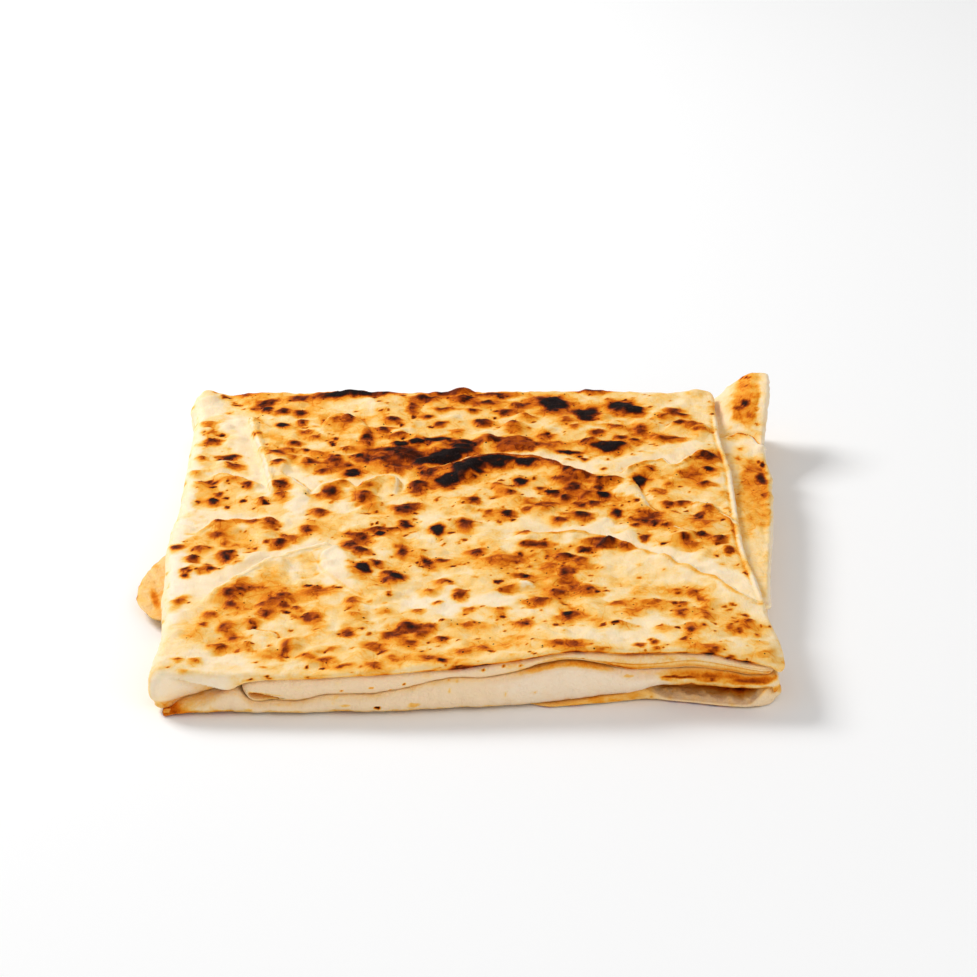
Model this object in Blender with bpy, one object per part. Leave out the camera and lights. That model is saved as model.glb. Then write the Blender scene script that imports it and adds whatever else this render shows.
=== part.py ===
"""Gozleme: a thin yufka sheet folded over and over into a flat, pan-browned packet.

The packet lies flat on z = 0 with its front fold towards -Y. Sizes are in millimetres and are
turned into metres when a mesh is written. Each ply is one closed slab between an upper and a lower
height field. The plies lie on each other with a small clearance.
"""

import math

import bmesh
import bpy

# ---- driving sizes, in millimetres -------------------------------------------------------------
MM = 0.001
CLEARANCE = 0.3          # air between neighbouring plies
PITCH = 9.0              # column spacing of the plies
ROW_PITCH = 18.0         # row spacing of the plies

LEFT_EDGE = -103.7       # outer face of the left fold
REAR_EDGE = 116.5        # outer face of the rear fold
FRONT_LEFT = -105.5      # front fold at its left end
FRONT_SLANT = 7.0        # how much further back the front fold lies at its right end
RIGHT_FRONT = 92.2       # right side of the inner plies, front end
RIGHT_SPREAD = 6.3       # how much wider they are at the rear
INNER_LEFT = -94.0       # left end of the plies inside the left fold
INNER_REAR = 108.0       # rear end of the plies inside the rear fold
CORNER = 7.0             # plan radius of the outer corners
RIGHT_CORNER = 3.5       # the same at the right front, where the folds end more squarely

CROWN = 16.2             # height of the packet's middle
REAR_CROWN = 17.6        # height of the rear fold
MIDDLE_CROWN = 12.4      # height of the middle ply inside the packet
MIDDLE_START = -74.0     # left end of the middle ply
FOLD_WAVE = 0.5          # slow unevenness of the top
FOOT = 0.4               # height of the folds' lower edges over the surface
HOOK = 4.2               # thickness of the lower fold where it turns down at the right
RIM_EDGE = 0.22          # part of a ply's thickness that is left on its rim
LEFT_CROWN = 14.8        # height along the left fold
LIP = 2.3                # thickness of the top sheet's front lip
FRONT_REACH = 42.0       # how far in the front fold's waves run out

BASE_THIN = 1.5          # height of the lower fold's underside where the base ply is thin
BASE_THICK = 4.6         # the same at the right, inside the packet
POCKET_ROOF = 7.0        # height of the open pocket's roof at the right front
POCKET_DEPTH = 4.0       # how far the base ply sinks below that roof
POCKET_START = 48.0      # left end of the pocket
POCKET_REACH = 14.0      # how far in the pocket runs

FLAP_THICK = 2.7         # the flap that is folded in along the right side
FLAP_INNER = 79.5        # its inner edge, which lies under the top sheet
FLAP_FRONT = -54.0       # where it tapers out
FLAP_REAR = 118.0
FLAP_BACKING = 7.0       # how much further back the inner plies reach under it
FLAP_ROLLED = 4.6        # how far its rear end is rolled up beside the top sheet
FLAP_CURL = 5.6          # how much further its rear corner stands up
CURL_START = 83.9        # where the roll starts
CURL_COLUMNS = (CURL_START, 85.2, 86.6, 88.2, 89.8)   # at the flap's narrow front end
CURL_ROWS = (86.0, 98.0)
FLAP_ROLL = 1.2          # how far its outer edge rolls down
FLAP_BED = 1.5           # how far the middle ply sinks under it

TAB_FRONT = -46.0        # corner of a ply that pokes out at the left
TAB_REAR = 10.0
TAB_TIP_Y = -27.5
TAB_REACH = 9.8
TAB_THICK = 2.4
TAB_MIDDLE = 2.6         # height of its middle surface at the root
TAB_LIFT = 1.4           # how much higher its tip stands
TAB_ROOM = 4.6           # height of the left fold's lower edge over the tab
TAB_COLUMNS = 8
TAB_ROWS = 9

# Folds of the plies below that show through the top sheet: two ends, width and height.
TOP_FOLDS = (
    ((-82.0, 84.0), (-72.0, 26.0), 9.0, -0.9),
    ((-51.0, -16.0), (-92.0, -62.0), 10.0, 1.1),
    ((14.0, -8.0), (90.0, -62.0), 11.0, 0.9),
    ((-22.0, 44.0), (42.0, 38.0), 10.0, 1.0),
)

COLUMNS = [PITCH * i for i in range(-10, 11)]
ROWS = [ROW_PITCH * j + 1.0 for j in range(-6, 7)]
TOP_ROWS = [row + 0.5 * ROW_PITCH for row in ROWS if -50.0 < row < 95.0]


# ---- small maths ---------------------------------------------------------------------------------
def rise(start, end, value):
    """Return 0 before start and 1 after end, with a smooth climb between them."""
    t = min(max((value - start) / (end - start), 0.0), 1.0)
    return t * t * (3.0 - 2.0 * t)


def swell(value, centre, width, height):
    """Return a smooth bump of the given height round a centre."""
    return height * math.exp(-((value - centre) / width) ** 2)


def mix(a, b, t):
    """Return a at t = 0 and b at t = 1."""
    return a + (b - a) * t


# ---- plan outlines -------------------------------------------------------------------------------
def front_edge(x):
    """Front line of the lower fold."""
    return FRONT_LEFT + FRONT_SLANT * rise(-40.0, 55.0, x) - swell(x, 82.0, 12.0, 2.4)


def base_front(x):
    """Front line of the base ply, set back where it lifts into the pocket."""
    return front_edge(x) + 0.9 + swell(x, 52.0, 13.0, 2.6)


def middle_front(x):
    """Front line of the middle ply."""
    return front_edge(x) + 1.2 + swell(x, 20.0, 14.0, 0.8)


def lip_front(x):
    """Front line of the top sheet."""
    return front_edge(x) + 0.6 + 1.2 * rise(10.0, 70.0, x) - swell(x, 90.0, 6.0, 1.6)


def rear_edge(x):
    """Rear line of the packet, slightly wavy."""
    return REAR_EDGE + 0.8 * math.sin(x / 17.0) + 0.6 * rise(0.0, 60.0, x)


def left_edge(y):
    """Left line of the packet, with the knob of dough at its rear corner."""
    return LEFT_EDGE - swell(y, 109.0, 7.0, 2.6) - swell(y, -6.0, 20.0, 1.2) + swell(y, -74.0, 22.0, 2.0)


def right_edge(y):
    """Right line of the inner plies."""
    return RIGHT_FRONT + RIGHT_SPREAD * rise(-60.0, 60.0, y)


def lip_right(y):
    """Right line of the top sheet, which draws in towards the rear."""
    drawn_in = 3.4 * rise(-100.0, -70.0, y) + 4.6 * rise(-68.0, -6.0, y) + 2.2 * rise(40.0, 78.0, y)
    return RIGHT_FRONT + 1.6 - drawn_in


def flap_right(y):
    """Outer line of the right flap, with a small ear halfway along."""
    spread = 6.8 * rise(-60.0, 40.0, y) + 4.2 * rise(70.0, 115.0, y)
    return RIGHT_FRONT + 0.4 + spread + swell(y, 50.0, 8.0, 1.2)


def flap_spread(x, y):
    """Place of a flap column that stands at x at the front end, as the flap gets wider."""
    share = max(x - CURL_START, 0.0) / (flap_right(FLAP_FRONT) - CURL_START)
    return x + share * (flap_right(y) - flap_right(FLAP_FRONT))


# ---- height fields -------------------------------------------------------------------------------
def inwards(x, y, edge, reach):
    """Return 0 on a front line and 1 once reach millimetres behind it."""
    return rise(0.0, reach, y - edge(x))


def fold_underside(x, y):
    """Underside of the lower fold, which lifts off the base ply towards the right front."""
    front = BASE_THIN + 2.2 * rise(18.0, 40.0, x) + (POCKET_ROOF - BASE_THIN - 2.2) * rise(42.0, 57.0, x)
    inside = mix(BASE_THIN, BASE_THICK, rise(0.0, 60.0, x))
    return mix(front, inside, inwards(x, y, front_edge, 34.0))


def fold_lower(x, y):
    """Underside of the lower fold with the hook that turns down at its right end."""
    if x > right_edge(y) - HOOK + 0.6:
        return FOOT
    return fold_underside(x, y)


def base_top(x, y):
    """Upper face of the base ply, sunk where the pocket is open."""
    across = rise(POCKET_START, POCKET_START + 10.0, x)
    depth = 1.0 - inwards(x, y, front_edge, POCKET_REACH)
    return fold_underside(x, y) - CLEARANCE - POCKET_DEPTH * across * depth


def fold_top(x, y):
    """Upper face of the lower fold."""
    front = 2.0 + 4.9 * rise(-96.0, -78.0, x) + 4.2 * rise(-36.0, -8.0, x)
    front += swell(x, 25.0, 10.0, 3.0) - swell(x, -59.0, 7.0, 2.2) - 1.4 * rise(78.0, 90.0, x)
    inside = 8.2 + 0.8 * rise(0.0, 60.0, x)
    return mix(front, inside, inwards(x, y, front_edge, FRONT_REACH))


def lip_line(x):
    """Height of the top sheet's lower edge along the front."""
    line = 11.9 + 5.1 * rise(-45.0, 28.0, x) + swell(x, 27.0, 9.0, 0.9) - swell(x, 47.0, 7.0, 0.6)
    return line - 4.4 * rise(70.0, 91.0, x) - swell(x, -79.0, 7.0, 1.2)


def middle_top(x, y):
    """Upper face of the middle ply, which sinks to make room for the flap."""
    bed = FLAP_BED * rise(63.0, 72.0, x) * rise(FLAP_FRONT - 26.0, FLAP_FRONT - 8.0, y)
    return mix(lip_line(x) - CLEARANCE, MIDDLE_CROWN, inwards(x, y, front_edge, FRONT_REACH)) - bed


def flap_bottom(x, y):
    """Underside of the right flap, curled up at its rear corner and rolled down along its edge."""
    curl = FLAP_ROLLED * rise(CURL_START, 89.4, x) * rise(80.0, 104.0, y)
    curl += FLAP_CURL * rise(87.0, 98.5, x) * rise(78.0, FLAP_REAR, y)
    roll = FLAP_ROLL * rise(-1.8, 1.5, x - flap_right(y)) * (1.0 - rise(60.0, 100.0, y))
    return middle_top(x, y) + CLEARANCE + 0.1 + curl - roll


def flap_top(x, y):
    """Upper face of the right flap, which thins towards its front tip."""
    return flap_bottom(x, y) + FLAP_THICK * (0.35 + 0.65 * rise(FLAP_FRONT, FLAP_FRONT + 22.0, y))


def top_folds(x, y):
    """Return the relief of the folds that show through the top sheet."""
    relief = FOLD_WAVE * math.sin(x / 15.0 + y / 24.0) * math.sin(y / 19.0 - x / 40.0)
    for (x0, y0), (x1, y1), width, height in TOP_FOLDS:
        run_x, run_y = x1 - x0, y1 - y0
        along = ((x - x0) * run_x + (y - y0) * run_y) / (run_x ** 2 + run_y ** 2)
        nearest = min(max(along, 0.0), 1.0)
        gap = math.hypot(x - x0 - nearest * run_x, y - y0 - nearest * run_y)
        relief += swell(gap, 0.0, width, height)
    return relief


def sheet_top(x, y):
    """Upper face of the top sheet."""
    front = lip_line(x) + LIP + 0.6 * (1.0 - rise(-80.0, -60.0, x))
    inside = mix(CROWN, REAR_CROWN, rise(0.0, 100.0, y)) - (CROWN - LEFT_CROWN) * (1.0 - rise(-96.0, -50.0, x))
    return mix(front, inside + top_folds(x, y), inwards(x, y, front_edge, FRONT_REACH))


def tab_window(y):
    """Return 1 where the left fold stands clear of the tab that pokes out below it."""
    return rise(TAB_FRONT - 7.0, TAB_FRONT - 1.0, y) * (1.0 - rise(TAB_REAR + 1.0, TAB_REAR + 7.0, y))


def sheet_underside(x, y):
    """Underside of the top sheet over the plies and the flap, and down its left and rear folds."""
    if y > INNER_REAR + 1.2 and x < FLAP_INNER - 2.0:
        return FOOT
    if x < INNER_LEFT - 1.2:
        return FOOT + (TAB_ROOM - FOOT) * tab_window(y)
    below = mix(fold_top(x, y), middle_top(x, y), rise(MIDDLE_START - 3.0, MIDDLE_START - 0.6, x))
    tucked = rise(FLAP_INNER - 3.0, FLAP_INNER - 1.0, x)
    tucked *= rise(FLAP_FRONT - 12.0, FLAP_FRONT - 3.0, y)
    return mix(below, flap_top(x, y), tucked) + CLEARANCE


# ---- mesh building -------------------------------------------------------------------------------
def rounding(distance, radius):
    """Return 0 on a rim and 1 past its radius, along a quarter circle."""
    t = 1.0 - min(max(distance / radius, 0.0), 1.0)
    return math.sqrt(max(1.0 - t * t, 0.0))


def to_corner(px, py, radius):
    """Pull a point into a rounded plan corner; px and py are its distances from the two edges."""
    if px >= radius or py >= radius:
        return px, py
    qx, qy = 1.0 - px / radius, 1.0 - py / radius
    bent_x = qx * math.sqrt(1.0 - 0.5 * qy * qy)
    bent_y = qy * math.sqrt(1.0 - 0.5 * qx * qx)
    return radius * (1.0 - bent_x), radius * (1.0 - bent_y)


def rim_steps(radius, *more):
    """Return the distances from an outline at which its rounded rim has grid lines."""
    return sorted([0.0, 0.12 * radius, 0.45 * radius, radius, *more])


def make_material(name, colour, roughness):
    """Return a matte dough material."""
    material = bpy.data.materials.new(name)
    material.use_nodes = True
    shader = material.node_tree.nodes["Principled BSDF"]
    shader.inputs["Base Color"].default_value = (*colour, 1.0)
    shader.inputs["Roughness"].default_value = roughness
    shader.inputs["Metallic"].default_value = 0.0
    return material


def make_slab(name, columns, rows, point, material, collection):
    """Build a closed slab from a grid; point(i, j, side) gives a corner, side 0 below and 1 above."""
    bed = bmesh.new()
    bmesh.ops.create_grid(bed, x_segments=columns - 1, y_segments=rows - 1, size=1.0)
    lower = bed.verts[:]
    extruded = bmesh.ops.extrude_face_region(bed, geom=bed.faces[:])
    upper = [item for item in extruded["geom"] if isinstance(item, bmesh.types.BMVert)]
    for side, verts in ((0, lower), (1, upper)):
        for vert in verts:
            i = round((vert.co.x + 1.0) / 2.0 * (columns - 1))
            j = round((vert.co.y + 1.0) / 2.0 * (rows - 1))
            vert.co = [MM * c for c in point(i, j, side)]
    bmesh.ops.recalc_face_normals(bed, faces=bed.faces[:])
    mesh = bpy.data.meshes.new(name)
    bed.to_mesh(mesh)
    bed.free()
    mesh.materials.append(material)
    mesh.shade_smooth()
    mesh.set_sharp_from_angle(angle=math.radians(50.0))
    slab = bpy.data.objects.new(name, mesh)
    collection.objects.link(slab)
    return slab


class Ply:
    """A sheet of dough between four outlines and two height fields, with rounded rims."""

    def __init__(self, outlines, faces, rims, corner, right_more=(), more_x=(), more_y=(), spread=None):
        self.left, self.right, self.front, self.rear = outlines
        self.faces = faces
        self.rims = rims
        self.spread = spread or (lambda x, y: x)
        self.corner = corner
        self.near_left = rim_steps(rims[0])
        self.near_right = rim_steps(rims[1], *right_more)[::-1]
        self.near_front = rim_steps(rims[2], rims[2] + 5.0)
        self.near_rear = rim_steps(rims[3])[::-1]
        self.inner_x = sorted([c for c in COLUMNS if self.clear_of_sides(c)] + list(more_x))
        self.inner_y = sorted([r for r in ROWS if self.clear_of_ends(r)] + list(more_y))
        self.columns = len(self.near_left) + len(self.inner_x) + len(self.near_right)
        self.rows = len(self.near_front) + len(self.inner_y) + len(self.near_rear)

    def clear_of_sides(self, x):
        """Tell whether a column stands clear of both rims along the whole ply."""
        low = max(self.left(y) for y in ROWS) + self.near_left[-1] + 1.5
        high = min(self.right(y) for y in ROWS) - self.near_right[0] - 1.5
        return low < x < high

    def clear_of_ends(self, y):
        """Tell whether a row stands clear of both rims across the whole ply."""
        low = max(self.front(x) for x in COLUMNS) + self.near_front[-1] + 2.0
        high = min(self.rear(x) for x in COLUMNS) - self.near_rear[0] - 2.0
        return low < y < high

    def flat_place(self, i, j):
        """Return the plan place of a grid corner before the plan corners are rounded."""
        row = j - len(self.near_front)
        if row < 0:
            y = self.front(0.0)
        elif row < len(self.inner_y):
            y = self.inner_y[row]
        else:
            y = self.rear(0.0)
        column = i - len(self.near_left)
        if column < 0:
            x = self.left(y) + self.near_left[i]
        elif column < len(self.inner_x):
            x = self.spread(self.inner_x[column], y)
        else:
            x = self.right(y) - self.near_right[column - len(self.inner_x)]
        if row < 0:
            y = self.front(x) + self.near_front[j]
        elif row >= len(self.inner_y):
            y = self.rear(x) - self.near_rear[row - len(self.inner_y)]
        return x, y

    def margins(self, x, y):
        """Return the distances from the left, right, front and rear outlines."""
        return x - self.left(y), self.right(y) - x, y - self.front(x), self.rear(x) - y

    def point(self, i, j, side):
        """Return a corner of the slab, on its lower (0) or upper (1) face."""
        x, y = self.flat_place(i, j)
        margins = [max(m, 0.0) for m in self.margins(x, y)]
        low, high = (face(x, y) for face in self.faces)
        fullness = math.prod(rounding(m, r) for m, r in zip(margins, self.rims))
        half = 0.5 * (high - low) * max(fullness, RIM_EDGE)
        z = 0.5 * (low + high) + (half if side else -half)
        x_sign, from_side = min((1.0, margins[0]), (-1.0, margins[1]), key=lambda pair: pair[1])
        y_sign, from_end = min((1.0, margins[2]), (-1.0, margins[3]), key=lambda pair: pair[1])
        at_right_front = x_sign < 0.0 < y_sign
        radius = min(self.corner, RIGHT_CORNER) if at_right_front else self.corner
        new_side, new_end = to_corner(from_side, from_end, radius)
        return x + x_sign * (new_side - from_side), y + y_sign * (new_end - from_end), z

    def build(self, name, material, collection):
        """Make the ply's object."""
        return make_slab(name, self.columns, self.rows, self.point, material, collection)


def tab_point(i, j, side):
    """Return a corner of the left tab, a blunt leaf that narrows towards its tip."""
    out = math.sin(0.5 * math.pi * i / (TAB_COLUMNS - 1))
    across = j / (TAB_ROWS - 1)
    narrow = 1.0 - 0.84 * out ** 3.6
    y = mix(TAB_TIP_Y, mix(TAB_FRONT, TAB_REAR, across), narrow)
    x = mix(INNER_LEFT - 2.2, LEFT_EDGE - TAB_REACH, out)
    edge = math.sin(math.pi * across) ** 0.5 if 0.0 < across < 1.0 else 0.0
    half = 0.5 * TAB_THICK * max(edge * (1.0 - 0.35 * out), RIM_EDGE)
    half *= 1.0 if out < 1.0 else 0.5
    z = TAB_MIDDLE + TAB_LIFT * out * out
    return x, y, z + (half if side else -half)


# ---- the packet ----------------------------------------------------------------------------------
def build_packet():
    """Make every ply of the gozleme."""
    packet = bpy.data.collections.new("gozleme")
    bpy.context.scene.collection.children.link(packet)
    browned = make_material("browned_dough", (0.78, 0.52, 0.24), 0.62)
    pale = make_material("pale_dough", (0.83, 0.67, 0.46), 0.66)
    base = make_material("base_dough", (0.72, 0.50, 0.28), 0.66)

    def inner_left(y):
        return INNER_LEFT

    def inner_rear(x):
        return INNER_REAR + FLAP_BACKING * rise(81.0, 90.0, x)

    plies = {
        "bottom_ply": (base, Ply(
            (inner_left, lambda y: right_edge(y) - HOOK, base_front, inner_rear),
            (lambda x, y: 0.0, base_top), (1.0, 1.6, 1.2, 1.0), CORNER)),
        "lower_fold": (pale, Ply(
            (inner_left, right_edge, front_edge, inner_rear),
            (fold_lower, fold_top), (2.5, 3.0, 3.6, 2.5), 5.0, right_more=(HOOK - 0.9, HOOK - 0.3))),
        "middle_ply": (pale, Ply(
            (lambda y: MIDDLE_START, lambda y: right_edge(y) - 2.0, middle_front, inner_rear),
            (lambda x, y: fold_top(x, y) + CLEARANCE, middle_top), (2.0, 1.8, 1.8, 1.8), 4.0)),
        "right_flap": (browned, Ply(
            (lambda y: FLAP_INNER, flap_right, lambda x: FLAP_FRONT, lambda x: FLAP_REAR),
            (flap_bottom, flap_top), (1.2, 1.4, 1.4, 1.4), 2.0,
            more_x=CURL_COLUMNS, more_y=CURL_ROWS, spread=flap_spread)),
        "top_sheet": (browned, Ply(
            (left_edge, lip_right, lip_front, rear_edge),
            (sheet_underside, sheet_top), (5.0, 1.6, 2.0, 5.0), CORNER,
            more_x=(INNER_LEFT - 1.5, INNER_LEFT - 0.6, FLAP_INNER - 3.0, FLAP_INNER - 1.0),
            more_y=(*TOP_ROWS, TAB_FRONT - 1.0, INNER_REAR + 0.6, INNER_REAR + 1.5))),
    }
    for name, (material, ply) in plies.items():
        ply.build(name, material, packet)
    make_slab("left_tab", TAB_COLUMNS, TAB_ROWS, tab_point, pale, packet)
    return packet


def stand_on_origin(collection):
    """Move the meshes so that the origin is the bottom centre of the packet's box."""
    corners = [vert.co for item in collection.objects for vert in item.data.vertices]
    low = [min(c[axis] for c in corners) for axis in range(3)]
    high = [max(c[axis] for c in corners) for axis in range(3)]
    shift = (-0.5 * (low[0] + high[0]), -0.5 * (low[1] + high[1]), -low[2])
    for item in collection.objects:
        for vert in item.data.vertices:
            vert.co = [c + s for c, s in zip(vert.co, shift)]


for leftover in list(bpy.data.objects):
    bpy.data.objects.remove(leftover, do_unlink=True)
stand_on_origin(build_packet())
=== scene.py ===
"""Looks of a gozleme: a folded packet of thin dough, browned and blistered on a hot plate.

Each ply of the packet is a fine closed mesh that stands for the plain solid of the same name. The
packet is laid out in its own plan, in millimetres: +X to the right, +Y away from the layered front
edge, z = 0 where it lies. PacketForm says how the plies lie, HotPlate where the dough browned.
"""

import logging
import math
from dataclasses import dataclass
from enum import Enum
from typing import Any, Callable, Iterator, Sequence

import bpy
import numpy as np
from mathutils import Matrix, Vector


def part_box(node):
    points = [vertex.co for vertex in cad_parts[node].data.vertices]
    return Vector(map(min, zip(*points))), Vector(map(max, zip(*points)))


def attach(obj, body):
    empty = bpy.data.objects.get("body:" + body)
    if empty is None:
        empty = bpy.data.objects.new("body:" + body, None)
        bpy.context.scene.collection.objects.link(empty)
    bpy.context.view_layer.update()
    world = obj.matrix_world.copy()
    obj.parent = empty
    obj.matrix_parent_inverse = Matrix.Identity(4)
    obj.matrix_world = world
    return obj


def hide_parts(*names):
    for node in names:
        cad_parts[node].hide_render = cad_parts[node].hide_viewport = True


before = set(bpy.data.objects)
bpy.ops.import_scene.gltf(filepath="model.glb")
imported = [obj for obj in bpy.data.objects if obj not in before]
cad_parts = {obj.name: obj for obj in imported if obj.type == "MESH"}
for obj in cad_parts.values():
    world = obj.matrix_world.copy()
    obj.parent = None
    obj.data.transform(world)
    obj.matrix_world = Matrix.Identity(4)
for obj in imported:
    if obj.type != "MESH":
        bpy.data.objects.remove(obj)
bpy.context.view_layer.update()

LOG = logging.getLogger("gozleme")
MM = 0.001
Array = np.ndarray
Field = Callable[[Array, Array], Array]
Line = Callable[[Array], Array]
Rows = tuple[tuple[float, ...], ...]
Shade = tuple[float, float, float, float]
Shell = tuple[Array, list[tuple[int, ...]], Array]
Material = bpy.types.Material
Socket = bpy.types.NodeSocket
Piece = bpy.types.Object


# ---- curves and grain
def rise(start: float, end: float, value: Array) -> Array:
    """Return a smooth climb from 0 at start to 1 at end, which may lie below start."""
    t = np.clip((value - start) / (end - start), 0.0, 1.0)
    return t * t * (3.0 - 2.0 * t)


def swell(value: Array, centre: float, width: float, height: float = 1) -> Array:
    """Return a smooth bump of a height and width round a centre."""
    return height * np.exp(-(((value - centre) / width) ** 2))


def mix(a: Array, b: Array, t: Array) -> Array:
    """Return a at t = 0 and b at t = 1."""
    return a + (b - a) * t


def polyline(x: Array, knots: Rows) -> Array:
    """Return the height at x of a line through knots."""
    return np.interp(x, [knot[0] for knot in knots], [knot[1] for knot in knots])


def flowing(x: Array, knots: Rows, reach: float = 1.6) -> Array:
    """Return the height at x of a line through knots, with its corners rounded."""
    return sum(polyline(x + reach * step, knots) for step in (-1, -0.5, 0, 0.5, 1)) / 5


class Grain:
    """Seeded gradient noise over a plane, from about -0.7 to 0.7."""

    SIZE = 256

    def __init__(self, seed: int) -> None:
        """Draw the lattice directions from a seed."""
        turns = np.random.default_rng(seed).uniform(0.0, 2.0 * math.pi, (self.SIZE, self.SIZE))
        self.east, self.north = np.cos(turns), np.sin(turns)

    def at(self, x: Array, y: Array, scale: float) -> Array:
        """Return the noise at points.

        Args:
            x: Points across.
            y: Points along.
            scale: Size of the lumps, in the units of the points.

        Returns:
            The noise, zero on average.
        """
        u, v = x / scale + 71.3, y / scale + 37.9
        i, j = np.floor(u).astype(int), np.floor(v).astype(int)
        a, b = u - i, v - j
        fade_a = a * a * a * (a * (6 * a - 15) + 10)
        fade_b = b * b * b * (b * (6 * b - 15) + 10)

        def corner(di: int, dj: int) -> Array:
            """Return one lattice corner's share."""
            row, column = (i + di) % self.SIZE, (j + dj) % self.SIZE
            return self.east[row, column] * (a - di) + self.north[row, column] * (b - dj)

        near = mix(corner(0, 0), corner(1, 0), fade_a)
        far = mix(corner(0, 1), corner(1, 1), fade_a)
        return mix(near, far, fade_b)

    def layers(self, x: Array, y: Array, scale: float, count: int = 3) -> Array:
        """Return noise summed over ever finer layers."""
        return sum(self.at(x, y, scale / 2**k) / 2**k for k in range(count))

    def ridges(self, x: Array, y: Array, scale: float) -> Array:
        """Return thin creases, 1 on their crests and falling to 0 between them.

        Args:
            x: Points across.
            y: Points along.
            scale: How far apart the creases lie, in the units of the points.

        Returns:
            The creases.
        """
        bend_x = x + 0.6 * scale * self.at(y, x, 1.7 * scale)
        bend_y = y + 0.6 * scale * self.at(x + 31.0, y, 1.7 * scale)
        return np.clip(1.0 - 4.5 * np.abs(self.at(bend_x, bend_y, scale)), 0.0, 1.0)


BROAD, FINE = Grain(11), Grain(23)


# ---- how the plies lie
@dataclass(frozen=True)
class PacketForm:
    """The packet's outlines and heights, in millimetres."""

    left: float = -103.7
    rear: float = 116.5
    front_left: float = -105.5
    front_slant: float = 7
    inner_left: float = -94
    inner_rear: float = 108
    right_front: float = 92.2
    right_spread: float = 6.3
    crown: float = 16.2
    rear_crown: float = 18.1
    left_crown: float = 14.8
    lip: float = 2.3
    reach: float = 42
    thin_base: float = 0.9
    thick_base: float = 4.6
    pocket_roof: float = 6.1
    pocket_depth: float = 4.8
    pocket_start: float = 48
    middle_crown: float = 12.4
    flap_front: float = -54
    flap_rear: float = 118
    flap_inner: float = 79.5
    flap_thick: float = 2.7
    flap_rolled: float = 4.6
    flap_curl: float = 5.6
    curl_start: float = 83.9
    flap_roll: float = 1.2
    flap_bed: float = 1.5
    foot: float = 0.4
    hook: float = 2.6
    hook_foot: float = 3.9
    gap: float = 0.3
    tab_front: float = -46
    tab_rear: float = 10
    tab_tip: float = -27.5
    tab_reach: float = 9.8
    # Heights along the front, as x and z: the lower edge of the left corner, the top of the lower
    # fold, and the lower edge of the top sheet.
    cheek: Rows = (
        (-98.4, 0.1), (-96.4, 0.2), (-95.2, 1.1), (-92.1, 2.7), (-88.3, 4.2), (-85.7, 5.3),
        (-80.8, 7.4), (-76.3, 9.1), (-72.5, 10.4), (-67, 11.2), (-62, 11.6))
    fold_line: Rows = (
        (-98.4, 0.1), (-95.2, 1), (-92.1, 2.4), (-88.3, 3.7), (-85.7, 4.7), (-80.8, 6.6), (-76.5, 8.3),
        (-75, 7.8), (-73.3, 5.7), (-71.4, 3.9), (-68.8, 3.4), (-66.5, 3.8), (-65, 4.5), (-62, 4),
        (-59, 3.7), (-56, 3.8), (-54.4, 4.2), (-51.9, 5.2), (-46.7, 6.2), (-34, 6.3), (-27, 7.4),
        (-19, 9.1), (-14, 10.4), (-8, 11.2), (0, 10.4), (5, 10.7), (12, 11.9), (18, 13.1),
        (22, 14), (26, 14.3), (30, 14.1), (34, 13.2), (40, 12), (47, 11), (55, 11.4),
        (67, 12.1), (77, 11.4), (84, 10.3), (91, 10))
    lip_heights: Rows = (
        (-90, 11.9), (-79, 10.9), (-68, 11.6), (-50, 11.9), (-39, 12.9), (-28, 13.2),
        (-19, 13.8), (-7, 14.4), (0, 15), (11, 15.9), (18, 16.9), (22, 17.6), (27, 18.2), (36, 17.6),
        (46, 16.5), (54, 16.7), (67, 16.9), (72, 16.8), (77, 15.8), (85, 14.2), (89.2, 13.3),
        (90.4, 12.8), (91.8, 10.6), (97, 10.4))

    def front_edge(self, x: Array) -> Array:
        """Return the front line of the lower fold."""
        return self.front_left + self.front_slant * rise(-40, 55, x) - swell(x, 82, 12, 2.4)

    def base_front(self, x: Array) -> Array:
        """Return the front line of the base ply, which stays back where the fold reaches down."""
        return self.front_edge(x) + 0.9 + swell(x, 52, 13, 2.6) + 3.6 * rise(22, 12, x)

    def middle_front(self, x: Array) -> Array:
        """Return the front line of the middle ply."""
        return self.front_edge(x) + 1.2 + swell(x, 20, 14, 0.8)

    def lip_front(self, x: Array) -> Array:
        """Return the front line of the top sheet."""
        return self.front_edge(x) + 0.6 + 1.2 * rise(10, 70, x) - swell(x, 90, 6, 1.6)

    def rear_edge(self, x: Array) -> Array:
        """Return the rear line of the packet."""
        return self.rear + 0.8 * np.sin(x / 17) + 0.6 * rise(0, 60, x)

    def left_edge(self, y: Array) -> Array:
        """Return the left line of the packet, with the knob of dough at its rear corner."""
        waves = swell(y, -74, 22, 2) - swell(y, 109, 7, 2.6) - swell(y, -6, 20, 1.2)
        return self.left + waves

    def right_edge(self, y: Array) -> Array:
        """Return the right line of the inner plies."""
        return self.right_front + self.right_spread * rise(-60, 60, y)

    def fold_left(self, y: Array) -> Array:
        """Return the left line of the lower fold, which runs out under the corner at the front."""
        return self.inner_left - 4.4 * rise(-90, -101, y)

    def lip_right(self, y: Array) -> Array:
        """Return the right line of the top sheet."""
        drawn_in = 3.4 * rise(-90, -62, y) + 4.6 * rise(-68, -6, y) + 2.2 * rise(40, 78, y)
        return self.right_front + 1.6 - drawn_in

    def flap_right(self, y: Array) -> Array:
        """Return the outer line of the right flap, with its small ear."""
        spread = 6.8 * rise(-60, 40, y) + 4.2 * rise(70, 115, y)
        return self.right_front + 0.4 + spread + swell(y, 50, 8, 1.2)

    def inner_end(self, x: Array) -> Array:
        """Return the rear line of the plies inside, which reach further back under the flap."""
        return self.inner_rear + 7 * rise(81, 90, x)

    def inwards(self, x: Array, y: Array, reach: float) -> Array:
        """Return 0 on the front line and 1 once reach millimetres behind it."""
        return rise(0, reach, y - self.front_edge(x))

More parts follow.
